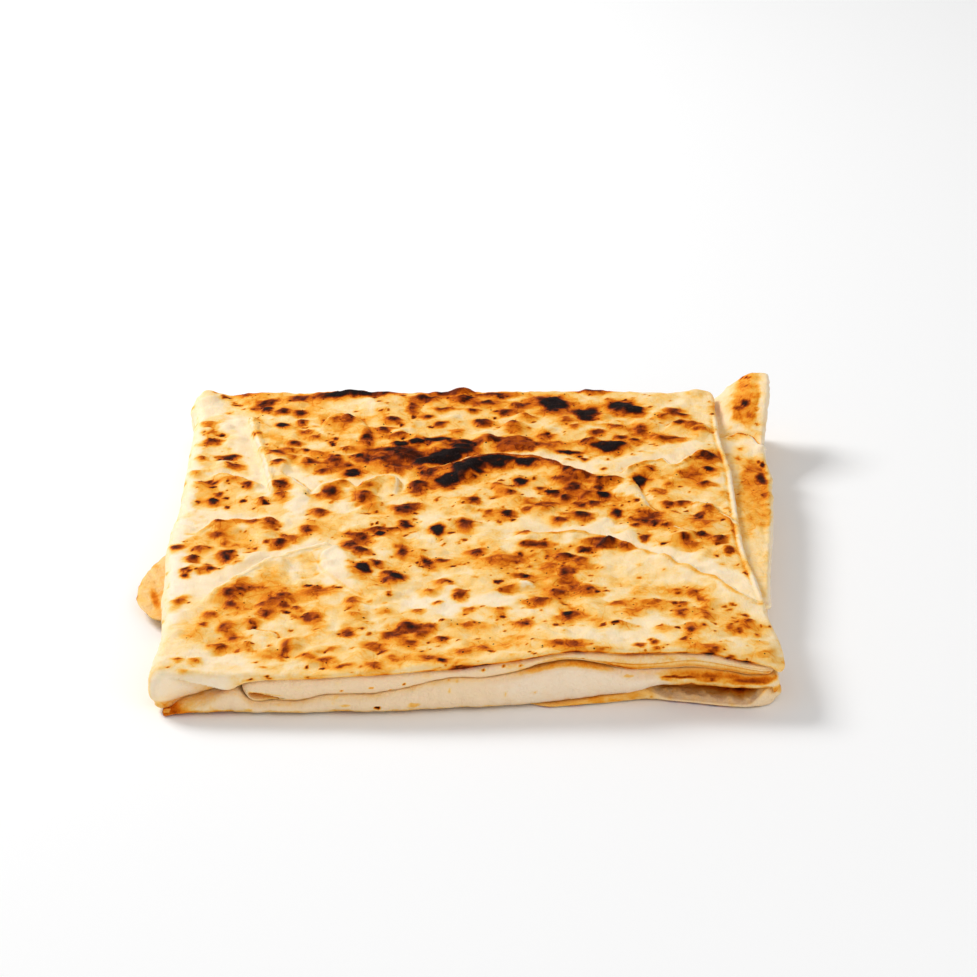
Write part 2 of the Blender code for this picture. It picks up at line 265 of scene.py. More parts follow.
    def fold_underside(self, x: Array, y: Array) -> Array:
        """Return the underside of the lower fold, which lifts off towards the right front.

        Args:
            x: Points across.
            y: Points along.

        Returns:
            The heights.
        """
        lift = self.pocket_roof - self.thin_base - 1.9
        front = self.thin_base + 1.9 * rise(20, 42, x) + lift * rise(42, 57, x)
        inside = mix(self.thin_base, self.thick_base, rise(0, 60, x))
        return mix(front, inside, self.inwards(x, y, 34))

    def fold_lower(self, x: Array, y: Array) -> Array:
        """Return the underside of the lower fold with the hook at its right end.

        Args:
            x: Points across.
            y: Points along.

        Returns:
            The heights.
        """
        hooked = rise(-self.hook, 0.9 - self.hook, x - self.right_edge(y))
        turned_down = rise(4, 1, y - self.front_edge(x)) * rise(21, 12, x)
        low = mix(self.fold_underside(x, y), 0.2, turned_down)
        return mix(low, self.hook_foot, hooked)

    def base_top(self, x: Array, y: Array) -> Array:
        """Return the upper face of the base ply, sunk into a bowl where the pocket is open.

        Args:
            x: Points across.
            y: Points along.

        Returns:
            The heights.
        """
        across = rise(self.pocket_start, self.pocket_start + 10, x)
        across = across * rise(-2.6, -11, x - self.right_edge(y))
        depth = rise(24, 12, y - self.front_edge(x))
        roof = np.minimum(self.fold_underside(x, y), self.fold_lower(x, y))
        return roof - self.gap - self.pocket_depth * across * depth

    def fold_top(self, x: Array, y: Array) -> Array:
        """Return the upper face of the lower fold."""
        inside = 8.2 + 0.8 * rise(0, 60, x)
        return mix(flowing(x, self.fold_line), inside, self.inwards(x, y, self.reach))

    def lip_line(self, x: Array) -> Array:
        """Return the height of the top sheet's lower edge along the front."""
        return flowing(x, self.lip_heights)

    def sheet_edge(self, x: Array) -> Array:
        """Return the height of the top sheet's lower edge, which drops round the left corner."""
        return np.where(x < self.cheek[-1][0], flowing(x, self.cheek, 0.8), self.lip_line(x))

    def middle_top(self, x: Array, y: Array) -> Array:
        """Return the upper face of the middle ply, which sinks under the flap."""
        bed = self.flap_bed * rise(63, 72, x) * rise(self.flap_front - 26, self.flap_front - 8, y)
        return mix(self.sheet_edge(x) - self.gap, self.middle_crown, self.inwards(x, y, self.reach)) - bed

    def flap_bottom(self, x: Array, y: Array) -> Array:
        """Return the underside of the right flap.

        Args:
            x: Points across.
            y: Points along.

        Returns:
            The heights.
        """
        curl = self.flap_rolled * rise(self.curl_start, 89.4, x) * rise(80, 104, y)
        curl = curl + self.flap_curl * rise(87, 98.5, x) * rise(78, self.flap_rear, y)
        roll = self.flap_roll * rise(-1.8, 1.5, x - self.flap_right(y)) * (1 - rise(60, 100, y))
        return self.middle_top(x, y) + self.gap + 0.1 + curl - roll

    def flap_top(self, x: Array, y: Array) -> Array:
        """Return the upper face of the right flap, which thins towards its front tip."""
        fullness = 0.35 + 0.65 * rise(self.flap_front, self.flap_front + 22, y)
        return self.flap_bottom(x, y) + self.flap_thick * fullness

    def sheet_top(self, x: Array, y: Array) -> Array:
        """Return the upper face of the top sheet without its relief.

        Args:
            x: Points across.
            y: Points along.

        Returns:
            The heights.
        """
        front = self.lip_line(x) + self.lip + 0.6 * (1 - rise(-80, -60, x))
        slope = (self.crown - self.left_crown) * (1 - rise(-96, -50, x))
        inside = mix(self.crown, self.rear_crown, rise(0, 100, y)) - slope
        return mix(front, inside, self.inwards(x, y, self.reach))

    def tab_window(self, y: Array) -> Array:
        """Return 1 where the left fold stands clear of the tab."""
        opening = rise(self.tab_front - 7, self.tab_front - 1, y)
        return opening * (1 - rise(self.tab_rear + 1, self.tab_rear + 7, y))

    def sheet_underside(self, x: Array, y: Array) -> Array:
        """Return the underside of the top sheet, with the folds down its left and rear.

        Args:
            x: Points across.
            y: Points along.

        Returns:
            The heights.
        """
        below = mix(self.fold_top(x, y), self.middle_top(x, y), rise(-77, -74.6, x))
        behind = rise(4, 12, y - self.front_edge(x))
        below = mix(self.sheet_edge(x) - self.gap, below, np.maximum(behind, rise(-66, -62, x)))
        tucked = rise(self.flap_inner - 3, self.flap_inner - 1, x)
        tucked = tucked * rise(self.flap_front - 12, self.flap_front - 3, y)
        below = mix(below, self.flap_top(x, y), tucked) + self.gap
        side = (1 - rise(self.inner_left - 1.5, self.inner_left - 0.6, x)) * behind
        back = rise(self.inner_rear + 0.6, self.inner_rear + 1.5, y)
        back = back * (1 - rise(self.flap_inner - 3, self.flap_inner - 2, x))
        side_foot = self.foot + (4.6 - self.foot) * self.tab_window(y)
        return mix(mix(below, side_foot, side), self.foot, back)


FORM = PacketForm()
# The packet's plan is shifted so that it lies where the frame's solids lie.
SHIFT_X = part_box("left_tab")[0].x / MM - (FORM.left - FORM.tab_reach)
SHIFT_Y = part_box("right_flap")[1].y / MM - FORM.flap_rear


# ---- creases
@dataclass(frozen=True)
class Crease:
    """An edge of a ply that shows through the sheet above it.

    The ground on the left of the line's direction stands up along it, and the other side dips. The line
    in the dip is painted shade, and the field after groove is how dark it is; rim is how baked the raised
    edge is, and pale how wide the raw strip in the dip is at each end of the line. Rub is how much the
    raised edge is rubbed pale.
    """

    points: Rows
    height: float = 0.9
    reach: float = 9
    groove: float = 0.35
    dip_shade: float = 0.5
    rim: float = 0.45
    pale: tuple[float, float] = (2, 2)
    rub: float = 1

    def route(self) -> Array:
        """Smooth the line.

        Returns:
            A run of points through the line's own points.
        """
        knots = np.array(self.points, float)
        padded = np.vstack([2 * knots[0] - knots[1], knots, 2 * knots[-1] - knots[-2]])
        places = []
        for a, b, c, d in zip(padded, padded[1:], padded[2:], padded[3:]):
            for t in np.linspace(0, 1, 5, endpoint=False):
                bend = (2 * a - 5 * b + 4 * c - d) * t**2 + (3 * b - a - 3 * c + d) * t**3
                places.append(b + 0.5 * ((c - a) * t + bend))
        return np.array([*places, knots[-1]])

    def measure(self, x: Array, y: Array) -> tuple[Array, Array, Array]:
        """Measure points against the line.

        Args:
            x: Points across.
            y: Points along.

        Returns:
            The signed distances, positive on the raised side, a strength that is 1 beside the line
            and fades to 0 at its ends, and the share of the line's length.
        """
        route = self.route()
        best, side, along = np.full(x.shape, 1e9), np.ones(x.shape), np.zeros(x.shape)
        for k, (start, end) in enumerate(zip(route, route[1:])):
            run = end - start
            t = np.clip(((x - start[0]) * run[0] + (y - start[1]) * run[1]) / (run @ run), 0, 1)
            off_x, off_y = x - start[0] - t * run[0], y - start[1] - t * run[1]
            gap = np.hypot(off_x, off_y)
            nearer = gap < best
            best = np.where(nearer, gap, best)
            side = np.where(nearer, np.sign(run[0] * off_y - run[1] * off_x), side)
            along = np.where(nearer, (k + t) / (len(route) - 1), along)
        return best * side, rise(0, 0.12, along) * rise(1, 0.88, along), along

    def lift(self, gap: Array, strength: Array) -> Array:
        """Return the relief beside the line.

        Args:
            gap: Signed distances from the line.
            strength: How strong the crease is there.

        Returns:
            The relief in millimetres.
        """
        fall = 1 / (1 + (np.clip(gap - 1, 0, None) / self.reach) ** 2)
        dip = 0.45 / (1 + (np.clip(-gap - 1, 0, None) / (0.6 * self.reach)) ** 2)
        step = rise(-0.3 - 0.9 * self.height, 0.65, gap)
        line = swell(gap, -1.1, 1, 0.8 * self.groove)
        return strength * (self.height * (step * fall - (1 - step) * dip) - line)


CREASES = (
    # The folded-back edge of the ply at the front: its left arm, the bulge beside it, its right arm.
    Crease(((-48, -11), (-54, -15), (-60, -18.5), (-67, -24), (-75, -33), (-85, -48), (-90, -58)),
           2.1, 8, 0.05, 0, 0.26, (6, 8)),
    Crease(((-42, -12), (-48, -17), (-52, -23), (-52, -29), (-48, -37), (-41, -46), (-34, -53)),
           0.9, 12, 0.05, 0.35, 0.14, (0, 0), 0.1),
    Crease(((90, -58), (82, -50), (76, -40), (65, -30), (55, -19.5), (42, -9), (33, -5), (20, -4.5),
            (12, 0)), 1.9, 9, 0.5, 0.9, 0.56, (9, 4)),
    # The ledge across the middle.
    Crease(((40, 42), (32, 47), (25, 53), (20, 57), (12, 60), (5, 60), (-6, 56), (-10, 51), (-20, 50)),
           2.1, 7, 0.5, 1, 0.8, (8, 0.8)),
    Crease(((80, 67), (75, 63), (71, 58), (66, 52), (63, 57), (60, 56.5), (55, 54), (50, 50), (48, 45)),
           1.6, 6, 0.5, 0.8, 0.56, (7, 4)),
    # The valley down the left, and the ledges beside it.
    Crease(((-84, 98), (-82, 85), (-78, 65), (-76, 55), (-74.5, 45), (-73, 35), (-72, 28)),
           1.2, 5, 0.1, 0.05, 0.3, (6, 3)),
    Crease(((-30, 23), (-29, 40), (-33, 43), (-36, 42), (-40, 37), (-43, 33), (-46, 37), (-52, 36),
            (-56, 34), (-59, 28)), 1.4, 6, 0.4, 0.7, 0.4, (2, 3)),
    Crease(((-59, 28), (-60, 33), (-66, 42), (-71, 47)), 0.9, 5, 0.3, 0.7, 0.3, (2, 5)),
    Crease(((-74, 34), (-78, 39), (-85, 43), (-90, 46), (-95, 42)), 1, 6, 0.2, 0.1, 0.42, (3, 3)),
    Crease(((-68, 9), (-76, 7), (-85, 6), (-92, 2), (-97, -5)), 1.1, 7, 0.2, 0.2, 0.54, (4, 5)),
    Crease(((-39, 70), (-41, 85), (-44, 94), (-51, 98), (-56, 92), (-57, 84)), 0.8, 5, 0, 0.2, 0.62,
           (0.3, 0.3), 0.1),
    # Small ledges on the right.
    Crease(((72, -3), (68, -1), (63, 2)), 0.8, 4, 0.3, 0.8, 0.6, (0.3, 0.3)),
    Crease(((86, 2), (83, 9), (79, 17), (76, 20), (70, 21)), 0.9, 5, 0.25, 0.5, 0.56, (0.8, 0.8)),
    Crease(((60, 12), (56, 20), (54, 28), (53, 36), (51, 45)), 0.8, 4, 0.15, 0.5, 0.36, (0.3, 0.3), 0.4),
    Crease(((84, 84), (76, 91), (70, 92), (64, 86)), 0.9, 5, 0.1, 0.5, 0.5, (0.4, 0.4), 0.3),
    # Crinkles at the front left.
    Crease(((-60, -82), (-64, -81), (-66, -77), (-75, -75)), 0.6, 3, 0.1, 0.7, 0.4, (0, 0), 0.2),
    Crease(((-53, 98), (-55, 94), (-57, 90)), 0.5, 3, 0.2, 0.5, 0.4, (0.3, 0.3)),
)


# ---- browning
# How deep a patch is baked: 0 is raw cream, 1 is black.
GOLD, TOAST, BROWN, DARK, BLACK = 0.46, 0.62, 0.71, 0.78, 1.02

# Scorched spots of the upper side: x, y, width, depth, how baked, and the turn in degrees. A spot
# without a level is DARK, and at the front BROWN.
REAR_SCORCHES = (
    (-50, 118, 24, 5, BLACK, 4), (-36, 119, 12, 3), (-66, 116, 8, 6), (-78, 110, 12, 4, DARK, 50),
    (-77, 104, 3, 4, BLACK), (-72, 102, 5, 4), (-66, 101, 4, 4), (-71, 89, 4, 4, BLACK), (-64, 92, 3, 4),
    (-81, 93, 3, 4, TOAST), (-80, 80, 3, 4), (-97, 90, 4, 3, TOAST), (-95, 75, 6, 3, DARK, 20),
    (-88, 62, 9, 3), (-86, 54, 5, 4), (-98, 59, 3, 3, TOAST), (-50, 92, 13, 9, TOAST), (-47, 95, 4, 3),
    (-32, 94, 5, 4), (-35, 86, 6, 4), (-15, 91, 3, 3), (-40.5, 77, 4, 14, DARK, 4), (-29, 72, 7, 5, BLACK),
    (-23, 74, 6, 4, BLACK), (-16, 76.5, 14, 6, 0.92, 8), (-26, 65, 5, 3), (-66, 73, 4, 3),
    (-62, 67, 2, 3, BLACK), (-60, 56, 4, 6), (-52, 58, 4, 5), (-71, 54, 4, 3), (-54, 49, 5, 3),
    (-45, 48, 7, 7, BLACK), (-36, 57, 8, 10, TOAST), (-34, 60, 3, 5), (-20, 114, 12, 6, DARK, 20),
    (-25, 107, 4, 8), (-14, 104, 7, 3), (-4, 103, 4, 3), (-72, 63, 7, 4, DARK, -20), (-66, 60, 4, 5, TOAST),
    (-47, 68, 6, 4, TOAST), (-43, 62, 5, 4), (-77, 66, 5, 3, TOAST), (-20, 97, 4, 3, TOAST),
    (-29, 80, 8, 3, TOAST), (-9, 84, 5, 5, TOAST), (-63, 83, 5, 4, TOAST), (-59, 78, 5, 3, TOAST),
    (-68, 66, 5, 6, TOAST), (-57, 64, 6, 5, TOAST), (-49, 54, 8, 5, TOAST), (-12, 119, 18, 3),
    (5, 118, 14, 3), (-85, 118, 10, 3, TOAST), (-96, 82, 3, 3, GOLD), (25, 109, 12, 17, BLACK),
    (21, 113, 8, 6), (37, 101, 10, 15, BLACK), (49, 107, 11, 11, BLACK), (54, 103, 9, 7, BLACK),
    (40, 122, 12, 5), (9, 102, 6, 5), (0, 92, 6, 5), (10, 88, 5, 5, TOAST), (40, 83, 6, 4),
    (33, 88, 4, 4, TOAST), (56, 85, 5, 8), (54, 76, 4, 4), (49, 78, 4, 3), (37, 75, 5, 4),
    (44, 71, 14, 9, BLACK), (30, 66, 9, 3, BLACK), (-2, 73, 4, 3), (68, 102, 5, 6), (71, 98, 3, 3),
    (69, 90, 5, 3), (74, 88, 3, 3), (66, 77, 9, 3), (77, 84, 6, 4, TOAST), (35, 60, 3, 2), (30, 58, 2, 2),
    (47, 53, 2, 2), (42, 50, 1.5, 1.5), (78, 60, 8, 8), (79, 50, 4, 5, BLACK), (62, 78, 7, 4, TOAST),
    (47, 88, 7, 4, TOAST), (30, 94, 5, 6, TOAST), (16, 96, 5, 4, TOAST), (3, 110, 12, 5, TOAST),
    (14, 108, 8, 5), (64, 97, 5, 5, TOAST), (-6, 114, 10, 5), (60, 94, 3, 3, GOLD), (22, 80, 6, 4, TOAST),
)
MIDDLE_SCORCHES = (
    (-18, 58, 13, 7, BLACK, 20), (-12, 63, 22, 9, BLACK, 30), (-7, 69, 10, 7, 0.95, 30), (-9, 74, 12, 6),
    (-28, 60, 9, 5), (-19, 46, 6, 11, DARK, 20), (-12, 41, 13, 9, BLACK, 45), (-5, 48, 18, 9, BLACK, 38),
    (5, 55, 17, 8, BLACK, 12), (-3, 51, 10, 8, BLACK, 35), (15, 54, 10, 5, BLACK, -15), (-22, 37, 8, 7),
    (-30, 66, 16, 9, 0.74, -10), (0, 62.5, 17, 5, 0.9, 15), (22, 72, 16, 7, 0.66), (12, 70, 15, 12, 0.68),
    (-28, 51, 9, 5, TOAST), (-32, 47, 6, 4, TOAST), (5, 76, 16, 4), (14, 77, 7, 4),
    (24, 53, 5, 3, DARK, -40), (29, 47, 4, 4), (36, 44, 6, 4), (40, 40, 4, 5), (-80, 37, 4, 3),
    (-90, 30, 2, 3), (-92, 24, 3, 5, BLACK), (-75, 24, 3, 5, TOAST), (-69, 36, 5, 8), (-52, 30, 6, 5),
    (-40, 27, 6, 9), (-40, 34, 7, 5, TOAST), (-22, 33, 5, 6), (-48, 37, 4, 3), (-55, 15, 5, 5),
    (-27, 17, 6, 7), (-23, 20, 6, 4, TOAST), (-26, 5, 3, 8), (-33, 1, 12, 3, DARK, 8),
    (-34, -3, 3, 3, BLACK), (-15, 1, 4, 7, BLACK), (-6, 5, 5, 9), (-3, 25, 4, 4), (-88, 3, 3, 2),
    (-77, 5, 5, 3), (-71, 5, 4, 6), (-83, 6, 6, 3, TOAST), (-88, -5, 6, 5, TOAST), (-67, -10, 5, 6),
    (-63, -6, 7, 4, TOAST, 30), (-58, 0, 4, 5), (-101, -14, 4, 3), (-95, -22, 4, 5), (-84, -20, 5, 7),
    (-79, -27, 3, 3, TOAST), (-88, -31, 6, 3), (-97, -31, 2, 2), (-96, -35, 2, 2), (-40, -5, 5, 6),
    (-44, -12, 5, 8), (-40, -17, 5, 6), (-39, -32, 5, 9, BLACK), (-34, -27, 4, 4), (-30, -35, 5, 6),
    (-26, -18, 3, 6), (-18, -25, 3, 8, DARK, 25), (-13, -24, 6, 5, TOAST), (-2, -18, 5, 4), (-30, -40, 6, 3),
    (-13, -40, 5, 4, TOAST), (-68, 28, 4, 7, TOAST), (-46, 42, 5, 4, TOAST), (-95, 38, 6, 4, TOAST),
    (-85, 41, 7, 3, TOAST), (-99, 47, 3, 4, GOLD), (-73, 10, 5, 4, TOAST), (-80, -12, 7, 4, GOLD),
    (-92, -15, 6, 4, TOAST), (-36, 20, 5, 5, GOLD), (-57, 6, 5, 4, GOLD), (13, 39, 4, 5, BLACK),
    (24, 30, 4, 4, BLACK), (31, 35, 5, 8), (41, 28, 6, 4, BLACK), (33, 21, 4, 4), (22, 21, 5, 4),
    (19, 19, 4, 3), (8, 14, 5, 6, BLACK), (2, 15, 2, 2), (15, 16, 3, 2), (33, 12, 8, 6), (26, 8, 5, 4),
    (45, 15, 3, 6), (54, 8, 3, 3), (58, 6, 3, 3), (51, 5, 2, 2), (61, 4, 3, 2), (54, -4, 2, 4),
    (67, -7, 3, 4), (73, -3, 5, 3, DARK, -30), (78, -7, 4, 4), (81, -15, 3, 4, TOAST), (67, 21, 6, 3),
    (63, 21, 3, 3), (76, 15, 6, 6, TOAST), (73, 12, 3, 3), (54, 42, 5, 9, BLACK), (58, 49, 6, 5, TOAST),
    (76, 38, 5, 4), (72, 45, 4, 3, TOAST), (68, 46, 3, 4, TOAST), (41, -13, 7, 5), (47, -15, 4, 4),
    (36, -11, 6, 3, TOAST), (14, -2, 4, 4), (18, -13, 9, 3), (13, -20, 0.6, 2.2), (21.5, -22, 0.6, 2.2),
    # (13, -36) is the dark crescent at the rear of the dome at (14, -42): browned skin and painted shade of
    # the dome.
    (5, -25, 12, 8, 0.6), (27, -22, 5, 5), (28, -33, 5, 10), (34, -17, 4, 3), (13, -36, 6, 2),
    (35, 29, 9, 8, 0.6), (28, 40, 6, 4, 0.62), (16, 24, 4, 3, TOAST), (10, 30, 4, 3, TOAST),
    (5, 36, 4, 4, TOAST), (40, 34, 4, 5), (44, 40.5, 6, 5, 0.6), (28, 26, 4, 4), (38, 22, 4, 4),
    (20, 34, 4, 3), (45, 42, 4, 5, 0.68), (64, 38, 4, 5, TOAST), (60, 33, 4, 4, TOAST), (84, 6, 3, 8, GOLD),
    (82, 30, 3, 6, GOLD), (70, -12, 6, 4, TOAST), (57, 12, 9, 7, 0.56), (75, 5, 6, 4, TOAST),
    (24, -48, 9, 10, 0.66), (33, -46, 8, 8, TOAST), (22, -28, 5, 7, TOAST), (32, -26, 5, 8, TOAST),
)
FRONT_SCORCHES = (
    (-80, -50, 8, 13, TOAST, -30), (-80, -58, 4, 3), (-63, -51, 5, 4), (-63, -57, 3, 4), (-70, -58, 4, 3),
    (-59, -59, 4, 3), (-68, -63, 3, 5), (-66, -54, 8, 6, TOAST), (-52, -45, 9, 5, TOAST),
    (-54, -66, 7, 6, 0.7), (-96, -53, 3, 9, TOAST, -25), (-86, -65, 4, 5, TOAST), (-88, -72, 3, 3),
    (-80, -73, 4, 7), (-78, -81, 4, 4), (-82, -87, 6, 4), (-61, -89, 3, 13, 0.7, -12), (-42, -77, 3, 6),
    (-41, -55, 4, 9, TOAST), (-34, -86, 6, 5), (-29, -77, 4, 4), (-26, -79, 3, 3), (-24, -72, 3, 4),
    (-20, -73, 3, 4), (-16, -74, 3, 3), (-19, -78, 3, 4), (-13, -81, 4, 3), (-22, -84, 5, 4),
    (-28, -38, 5, 4, BLACK), (-7, -49, 4, 5), (-17, -46, 5, 4, TOAST), (-94, -97, 2.4, 2.4, 0.6),
    (-88.5, -97, 2.4, 2.4, 0.6), (-92, -105, 3, 3, 0.6), (-54, -94, 5, 4, TOAST), (-43, -100, 6, 4, TOAST),
    (-33, -100, 6, 4, TOAST), (-28, -95, 4, 3, TOAST), (-16, -95, 6, 3, TOAST), (-12, -96, 3, 2),
    (-72, -70, 5, 4, TOAST), (-47, -88, 5, 4, GOLD), (-67, -95, 4, 3, GOLD), (-40, -65, 5, 5, GOLD),
    (-31, -62, 6, 4, GOLD), (-48, -96, 6, 4, TOAST), (-91, -80, 4, 3, GOLD), (-73, -87, 4, 3, GOLD),
    (18, -55, 7, 5, 0.72), (9, -45, 5, 4, TOAST), (5, -61, 5, 3, TOAST), (13, -70, 6, 5, 0.72),
    (28, -65, 8, 4), (27, -64, 4, 2, BLACK), (-5, -72, 6, 3, TOAST), (54, -56, 8, 4, TOAST), (67, -49, 3, 3),
    (70, -53, 3, 8, TOAST, 35), (62, -47, 3, 2, TOAST), (64, -57, 2, 2), (61, -57, 2, 2), (63, -63, 4, 3),
    (65, -72, 3, 3, TOAST), (65, -75, 3, 4), (83, -64, 1.6, 3, 0.72), (77, -74, 1.4, 1.4),
    (84, -70, 1.2, 1.2), (81, -76, 1.2, 1.2), (86, -78, 1.2, 1.2, 0.72), (81, -71, 12, 9, 0.42),
    (26, -83, 13, 4, TOAST), (24, -84, 6, 2), (0, -87, 5, 4, TOAST), (72, -88, 3, 3), (69, -86, 10, 3, 0.54),
    (49, -85, 2, 2), (53, -83, 2, 2), (54, -87, 2, 2), (62, -94, 10, 1.6, TOAST), (36, -68, 6, 4, GOLD),
    (47, -63, 7, 3, GOLD), (44, -72, 5, 3, GOLD), (58, -74, 6, 3, GOLD), (12, -80, 6, 3, GOLD),
    (-6, -90, 8, 4, 0.52), (36, -88, 6, 3, GOLD), (43, -57, 7, 3, TOAST), (50, -49, 5, 3, GOLD),
    (71, -66, 5, 3, TOAST), (-4, -60, 3, 2, TOAST), (-20, -62, 3, 2, TOAST), (-14, -56, 2, 2, TOAST),
    (46, -92, 8, 1.6, GOLD), (87, -92, 4, 2, GOLD), (21, -95, 16, 1.4, TOAST, 10), (30, -92, 3, 3, TOAST),
    (80, -97, 6, 1.4, TOAST, -18), (86, -84, 4, 3, GOLD), (-2, -101, 12, 1.6, TOAST, 8),
)


def levelled(rows: Rows, usual: float) -> Rows:
    """Return spots with the usual level where a row has none."""
    return tuple(row if len(row) > 4 else (*row, usual) for row in rows)


SCORCHES = levelled(REAR_SCORCHES + MIDDLE_SCORCHES, DARK) + levelled(FRONT_SCORCHES, BROWN)

# Broad zones of the upper side, in the same order, baked or pale all over.
ZONES = (
    (-50, 80, 62, 50, 0.28), (0, 95, 70, 44, 0.25), (40, 90, 70, 40, 0.22), (-25, 60, 60, 24, 0.5),
    (20, 100, 30, 20, 0.36), (-62, 108, 34, 16, 0.38), (35, 30, 40, 34, 0.4), (-5, 20, 40, 30, 0.32),
    (60, 10, 40, 36, 0.36), (70, -8, 28, 18, 0.42), (-66, -54, 40, 34, 0.42), (-78, -45, 18, 16, 0.48),
    (-24, -78, 26, 20, 0.46), (20, -40, 34, 22, 0.44), (50, -62, 66, 16, 0.3), (20, -20, 44, 16, 0.4),
    (-42, -12, 14, 26, 0.4), (-25, -12, 26, 24, 0.34), (-85, 25, 26, 26, 0.34), (-84, -10, 26, 18, 0.36),
    (68, 50, 28, 34, 0.36), (-35, -95, 50, 12, 0.28), (-66, -84, 30, 26, 0.3), (70, -86, 40, 10, 0.26),
    (64, 108, 22, 22, 0.17), (42, -12, 18, 12, 0.52), (10, -84, 30, 12, 0.28), (12, 70, 15, 14, 0.64),
)
PALE_ZONES = (
    (-102, 40, 9, 170, 0.05), (-103, -45, 16, 70, 0), (-87, 84, 12, 30, 0.08), (-83, 70, 10, 14, 0.1),
    (-74, 42, 6, 34, 0.06), (-63, 26, 8, 34, 0.08), (-92, 12, 24, 8, 0.12), (-86, -38, 30, 17, 0.04, 38),
    (-68, -22, 34, 11, 0.05, 35), (40, 60, 34, 9, 0.14, -6), (34, 54, 26, 9, 0.12, -30),
    (70, 68, 18, 15, 0.14, 30), (49, 33, 9, 14, 0.12), (30, 4, 44, 9, 0.12), (62, -22, 50, 15, 0.1, -40),
    # (14, -43) is the pale front of the dome at (14, -42): raw dough and a painted highlight.
    (82, -42, 26, 16, 0.09, -55), (-14, -54, 24, 22, 0.06), (14, -43, 6, 5, 0.04), (50, -76, 22, 20, 0.12),
    (-86, -96, 30, 18, 0.1), (-34, -22, 17, 15, 0.16), (-27, 20, 10, 16, 0.14), (55, 25, 6, 10, 0.14),
    (-20, -4, 14, 8, 0.16), (10, 2, 18, 8, 0.16), (87, 20, 5, 80, 0.12), (88, -66, 8, 14, 0.14),
    (5, -55, 14, 9, 0.1), (0, 46, 8, 5, 0.2), (38, -80, 14, 8, 0.12), (-60, -100, 14, 8, 0.14),
    (40, -96, 60, 5, 0.2), (-45, 20, 10, 12, 0.12), (-48, -32, 11, 28, 0.08, 9), (-98, 105, 10, 22, 0.12),
    (-60, 86, 10, 8, 0.2), (-12, 30, 14, 9, 0.18),
)


def turned(x: Array, y: Array, spot: Sequence[float]) -> Array:
    """Measure points against an oval.

    Args:
        x: Points across.
        y: Points along.
        spot: The oval's x, y, width, depth, level and optional turn in degrees.

    Returns:
        The distance from its centre, where 1 is its rim.
    """
    turn = math.radians(spot[5]) if len(spot) > 5 else 0
    off_x, off_y = x - spot[0], y - spot[1]
    across = off_x * math.cos(turn) + off_y * math.sin(turn)
    along = off_y * math.cos(turn) - off_x * math.sin(turn)
    return np.hypot(across / (0.5 * spot[2]), along / (0.5 * spot[3]))


